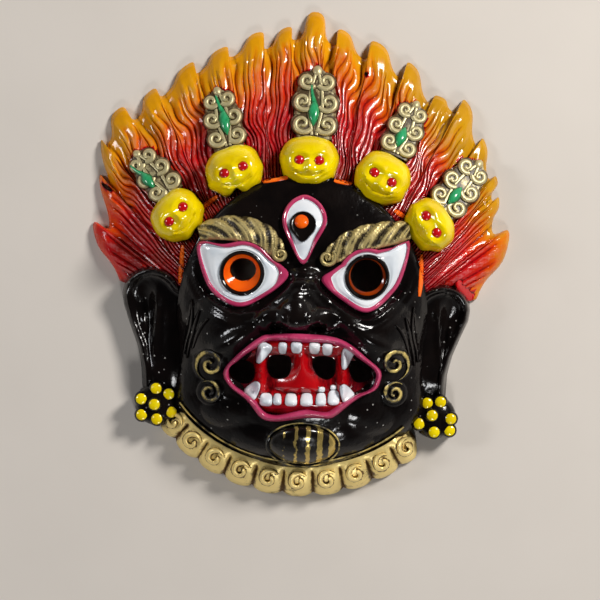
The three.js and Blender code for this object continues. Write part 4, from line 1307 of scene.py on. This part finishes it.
def drop_on(x, y):
    heights = []
    for px, py in zip(np.ravel(x), np.ravel(y)):
        start = Vector((px * MM, py * MM, 0.2))
        hits = [tree.ray_cast(start, Vector((0, 0, -1)))[0] for tree in grounds]
        heights.append(max((hit.z / MM for hit in hits if hit), default=4))
    return np.reshape(heights, np.shape(x))


def stroke_half_width(u):
    return 1.9 * np.sin(np.pi * mix(0.12, 0.9, u)) ** 0.6


for i, points in enumerate(STROKES):
    ribbon(f"stroke_{i + 1}", spline(points, 60), stroke_half_width, drop_on, 0.9, "orange_enamel", 30, 6)
BLOB = np.array([(95.6, -14.2), (106.4, -24.4)])
blob_ends = drop_on(BLOB[:, 0], BLOB[:, 1])
ribbon("red_blob", spline(BLOB, 40), lambda u: 3.8 * np.sin(np.pi * mix(0.1, 0.9, u)) ** 0.5,
       lambda x, y: np.interp(x, BLOB[:, 0], blob_ends) + 1.2, 1.6, "red_enamel", 30, 8, low=0.4, high=0.62)
print(len(blocks), "blocks ready to join")

# %% [markdown]
# ## Hollows and holes
# The casting is thin, so the space behind it follows the front a few millimetres below. Eye holes and the
# openings of the mouth go right through. Each is a closed block too, and all are cut away at the end.

# %% Hollows
casting_blocks = blocks
blocks = []
WALL = 3
LAND = 5
DEEP = -12
FACE_HOLLOW = 0.93


def crown_hollow(u, v):
    share = mix(1, TONGUES - 1, u) / TONGUES
    out = np.interp(v, [0, 1 / 3, 2 / 3, 1], [0, 0.35, 0.7, 0.89])
    x, y = crown_plan(share, out)
    return x, y, crown_height(out) - WALL


def face_hollow(u, v):
    ex, ey = spread_on_disc(u, v)
    x = FACE_CENTRE[0] + FACE_HOLLOW * FACE_RADII[0] * ex
    y = FACE_CENTRE[1] + FACE_HOLLOW * FACE_RADII[1] * ey
    wall = np.interp(np.hypot(ex, ey), [0, 0.5, 0.8, 1], [3.9, 4.4, 5.2, 6])
    sunk = sum(5 * nostril(x, y, at) for at in NOSTRILS) + MOUTH_DEPTH * inside_mouth(x, y)
    sunk = sunk + 4 * inside_iris(x, y, 12, 5)
    return x, y, face_form(x, y) - wall - sunk


def beard_hollow(u, v):
    across = mix(0.05, 0.65, v)
    x, y = beard_plan(mix(0.04, 0.96, u), across)
    return x, y, np.minimum(mix(*BEARD_Z, across), beard_ground(x, y)) - WALL * 1.5


def ear_hollow(name, ear):
    def place(u, v):
        x, y, across, _ = ear_plan(u, v, **ear, inset=LAND)
        return x, y, np.maximum(ear_form(across, v) - WALL * 1.5, 1)

    sheet_block(name + "_hollow", 8, 14, place, "cast_metal", DEEP)


sheet_block("crown_hollow", TONGUES - 2, 12, crown_hollow, "cast_metal", DEEP)
sheet_block("face_hollow", 32, 36, face_hollow, "cast_metal", DEEP)
sheet_block("beard_hollow", 30, 6, beard_hollow, "cast_metal", DEEP)
for name, ear in EARS.items():
    ear_hollow(name, ear)
for i, (at, turn, size) in enumerate(SKULLS):
    radii = [side / 2 - WALL * 1.6 for side in size]
    pebble(f"skull_hollow_{i + 1}", at, radii, SKULL_BASE_Z, SKULL_DEPTH - WALL * 2.2, "cast_metal",
           turn=turn, rings=6)


# %% Holes
POST_TOP = 100


def post(name, line, paint, low=-20):
    """Upright post with the given closed outline."""
    bpy.ops.mesh.primitive_circle_add(vertices=len(line), fill_type="NGON")
    block = bpy.context.object
    block.name = name
    set_points(block.data, np.column_stack([line, np.full(len(line), low)]) * MM)
    edit_all(pull((POST_TOP - low) * MM), FACE_OUT)
    paint_block(block.data, PAINT[paint])
    set_point_value(block.data, "crest", 0.5)
    set_point_value(block.data, "reach_out", 0.0)
    blocks.append(block)


MOUTH_HOLES = [
    [(-38.7, -69.1), (-32.5, -65.6), (-26.4, -67.3), (-24.6, -72.7), (-26.6, -78.4), (-32, -79.6),
     (-38, -76.6), (-40, -73)],
    [(-16.3, -63.2), (-9.5, -61.4), (-4, -62.8), (-3, -67.9), (-4.6, -73.4), (-9, -75.8), (-14.6, -75),
     (-17.4, -69.8)],
    [(10.1, -62.6), (16.3, -61.3), (22.4, -63.2), (23.2, -68.3), (22, -73.4), (17.7, -75.4), (12.7, -73),
     (9.4, -67.5)],
    [(32, -63.8), (36.9, -64.6), (42.2, -68), (45, -71.1), (44, -74.4), (38.7, -76.6), (34.3, -75.4),
     (31.4, -69.4)],
]
post("left_eye_hole", oval((-33.6, -11.8), (7.7, 6.6)), "orange_enamel")
# The right eye hole's wall takes the darker orange, as painted shade.
post("right_eye_hole", oval((39.5, -12.9), (9.6, 9.6)), "shaded_orange_enamel")
for i, outline in enumerate(MOUTH_HOLES):
    post(f"mouth_hole_{i + 1}", spline(outline, 49, closed=True)[:-1], "red_enamel")
post("crown_slit", oval((-120.4, 36.4), (4.4, 1.1), -36, 20), "cast_metal")
post("crown_chip", np.array([(34.2, 112.4), (37.4, 111.8), (36.6, 109.2)]), "cast_metal", low=8)
sheet_block("below_floor", 36, 36, lambda u, v: (400 * u - 200, 400 * v - 200, 0 * u), "cast_metal", -40)
cutters = blocks
print(len(cutters), "cutters ready")

# %% [markdown]
# ## One casting
# A Boolean modifier joins all the blocks, and a second one cuts the hollows, the holes and everything under
# the floor away. The Manifold solver is quick and leaves a clean closed skin. Slivers without area are then
# dissolved, and any crumb that the cutting left loose is deleted. Points that the cut made along the floor
# have no paint value yet, so they take it from the points above them.

# %% Join and cut
SLIVER = 1e-6
FLOOR_GAP = 1e-5
SMOOTH_ANGLE = 42


def gather(name, objects):
    group = bpy.data.collections.new(name)
    bpy.context.scene.collection.children.link(group)
    for block in objects:
        group.objects.link(block)
    return group


def apply_boolean(target, operation, group):
    bpy.ops.object.select_all(action="DESELECT")
    bpy.context.view_layer.objects.active = target
    target.select_set(True)
    modifier = target.modifiers.new(operation, "BOOLEAN")
    modifier.operation = operation
    modifier.operand_type = "COLLECTION"
    modifier.collection = group
    modifier.solver = "MANIFOLD"
    bpy.ops.object.modifier_apply(modifier=modifier.name)
    for block in list(group.objects):
        bpy.data.objects.remove(block)
    bpy.data.collections.remove(group)


def clean_up(block):
    """Dissolves slivers, and deletes all that isn't joined to the highest point."""
    bpy.ops.object.mode_set(mode="EDIT")
    bpy.ops.mesh.select_all(action="SELECT")
    bpy.ops.mesh.dissolve_degenerate(threshold=SLIVER)
    bpy.ops.mesh.delete_loose()
    bpy.ops.mesh.select_all(action="DESELECT")
    bpy.ops.object.mode_set(mode="OBJECT")
    highest = int(np.argmax(read_mesh(block.data.vertices, "co", 3)[:, 2]))
    block.data.vertices[highest].select = True
    bpy.ops.object.mode_set(mode="EDIT")
    bpy.ops.mesh.select_linked()
    bpy.ops.mesh.select_all(action="INVERT")
    bpy.ops.mesh.delete(type="VERT")
    bpy.ops.object.mode_set(mode="OBJECT")


def mend_floor_paint(mesh):
    """Points on the floor take their paint value from the points above them."""
    ends = np.empty(len(mesh.edges) * 2, np.int32)
    mesh.edges.foreach_get("vertices", ends)
    ends = ends.reshape(-1, 2)
    on_floor = read_mesh(mesh.vertices, "co", 3)[:, 2] < FLOOR_GAP
    layer = mesh.attributes["reach_out"].data
    reach = read_mesh(layer, "value", 1)[:, 0]
    for low, high in (ends.T, ends.T[::-1]):
        np.maximum.at(reach, low, np.where(on_floor[low], reach[high], 0))
    layer.foreach_set("value", reach.astype(np.float32))


mask = crown
apply_boolean(mask, "UNION", gather("front", [block for block in casting_blocks if block != crown]))
print("joined:", len(mask.data.polygons), "faces")
apply_boolean(mask, "DIFFERENCE", gather("cut", cutters))
clean_up(mask)
mend_floor_paint(mask.data)
bpy.ops.object.shade_smooth_by_angle(angle=math.radians(SMOOTH_ANGLE))
mask.name = "mask_casting"
mask.data.name = "mask_casting"
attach(mask, "root")
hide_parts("mask")
print("mask:", sum(len(face.vertices) - 2 for face in mask.data.polygons), "triangles")

# %% [markdown]
# ## Floor, light and camera
# The mask lies on its back on a plain warm floor. A large soft light stands to the upper right, a weaker
# one fills from the left, and the camera looks straight down, turned two degrees as the mask hangs.

# %% Floor
bpy.ops.mesh.primitive_plane_add(size=6)
floor = bpy.context.object
floor.name = "floor"
material, tree, shader = start_finish("floor_paint")
grain = noise(tree, object_place(tree), 14.0, 3.0)
warm_white = blend(tree, grain, colour(204, 197, 189), colour(212, 205, 197))
feed(tree, shader, Base_Color=warm_white, Roughness=0.75)
floor.data.materials.append(material)


# %% Light and camera
def soft_light(name, place, size, power, tint):
    """Round soft light that looks at the middle of the mask."""
    bpy.ops.object.light_add(type="AREA", location=place)
    light = bpy.context.object
    light.name = name
    light.data.shape = "DISK"
    light.data.size = size
    light.data.energy = power
    light.data.color = tint
    light.rotation_euler = (-Vector(place)).to_track_quat("-Z", "Y").to_euler()


soft_light("key", (0.9, 0.75, 0.95), 0.35, 24, (1, 0.97, 0.93))
soft_light("fill", (-1.1, 0.2, 0.75), 0.3, 5, (0.96, 0.97, 1))
soft_light("front", (0.25, -1.1, 0.8), 0.25, 5, (1, 1, 1))
world = bpy.data.worlds.new("studio")
bpy.context.scene.world = world
world.use_nodes = True
tree = world.node_tree
upward = add_node(tree, "SeparateXYZ", Vector=add_node(tree, "TexCoord").outputs["Generated"]).outputs["Z"]
sky = blend(tree, ease(tree, upward, 0.1, 0.55), (0.9, 0.88, 0.85, 1), (0.03, 0.03, 0.03, 1))
feed(tree, tree.nodes["Background"], Color=sky, Strength=0.3)

CAMERA_HEIGHT = 1.0
PHOTO_PIXELS = 600
MM_PER_PIXEL = 0.6186
SENSOR = 36
VIEW_WIDTH = MM_PER_PIXEL * PHOTO_PIXELS * MM
bpy.ops.object.camera_add(location=(0.0007, -0.0287, CAMERA_HEIGHT), rotation=(0, 0, math.radians(2)))
camera = bpy.context.object
camera.data.sensor_width = SENSOR
camera.data.lens = SENSOR * CAMERA_HEIGHT / VIEW_WIDTH
bpy.context.scene.camera = camera
bpy.context.scene.view_settings.view_transform = "Standard"
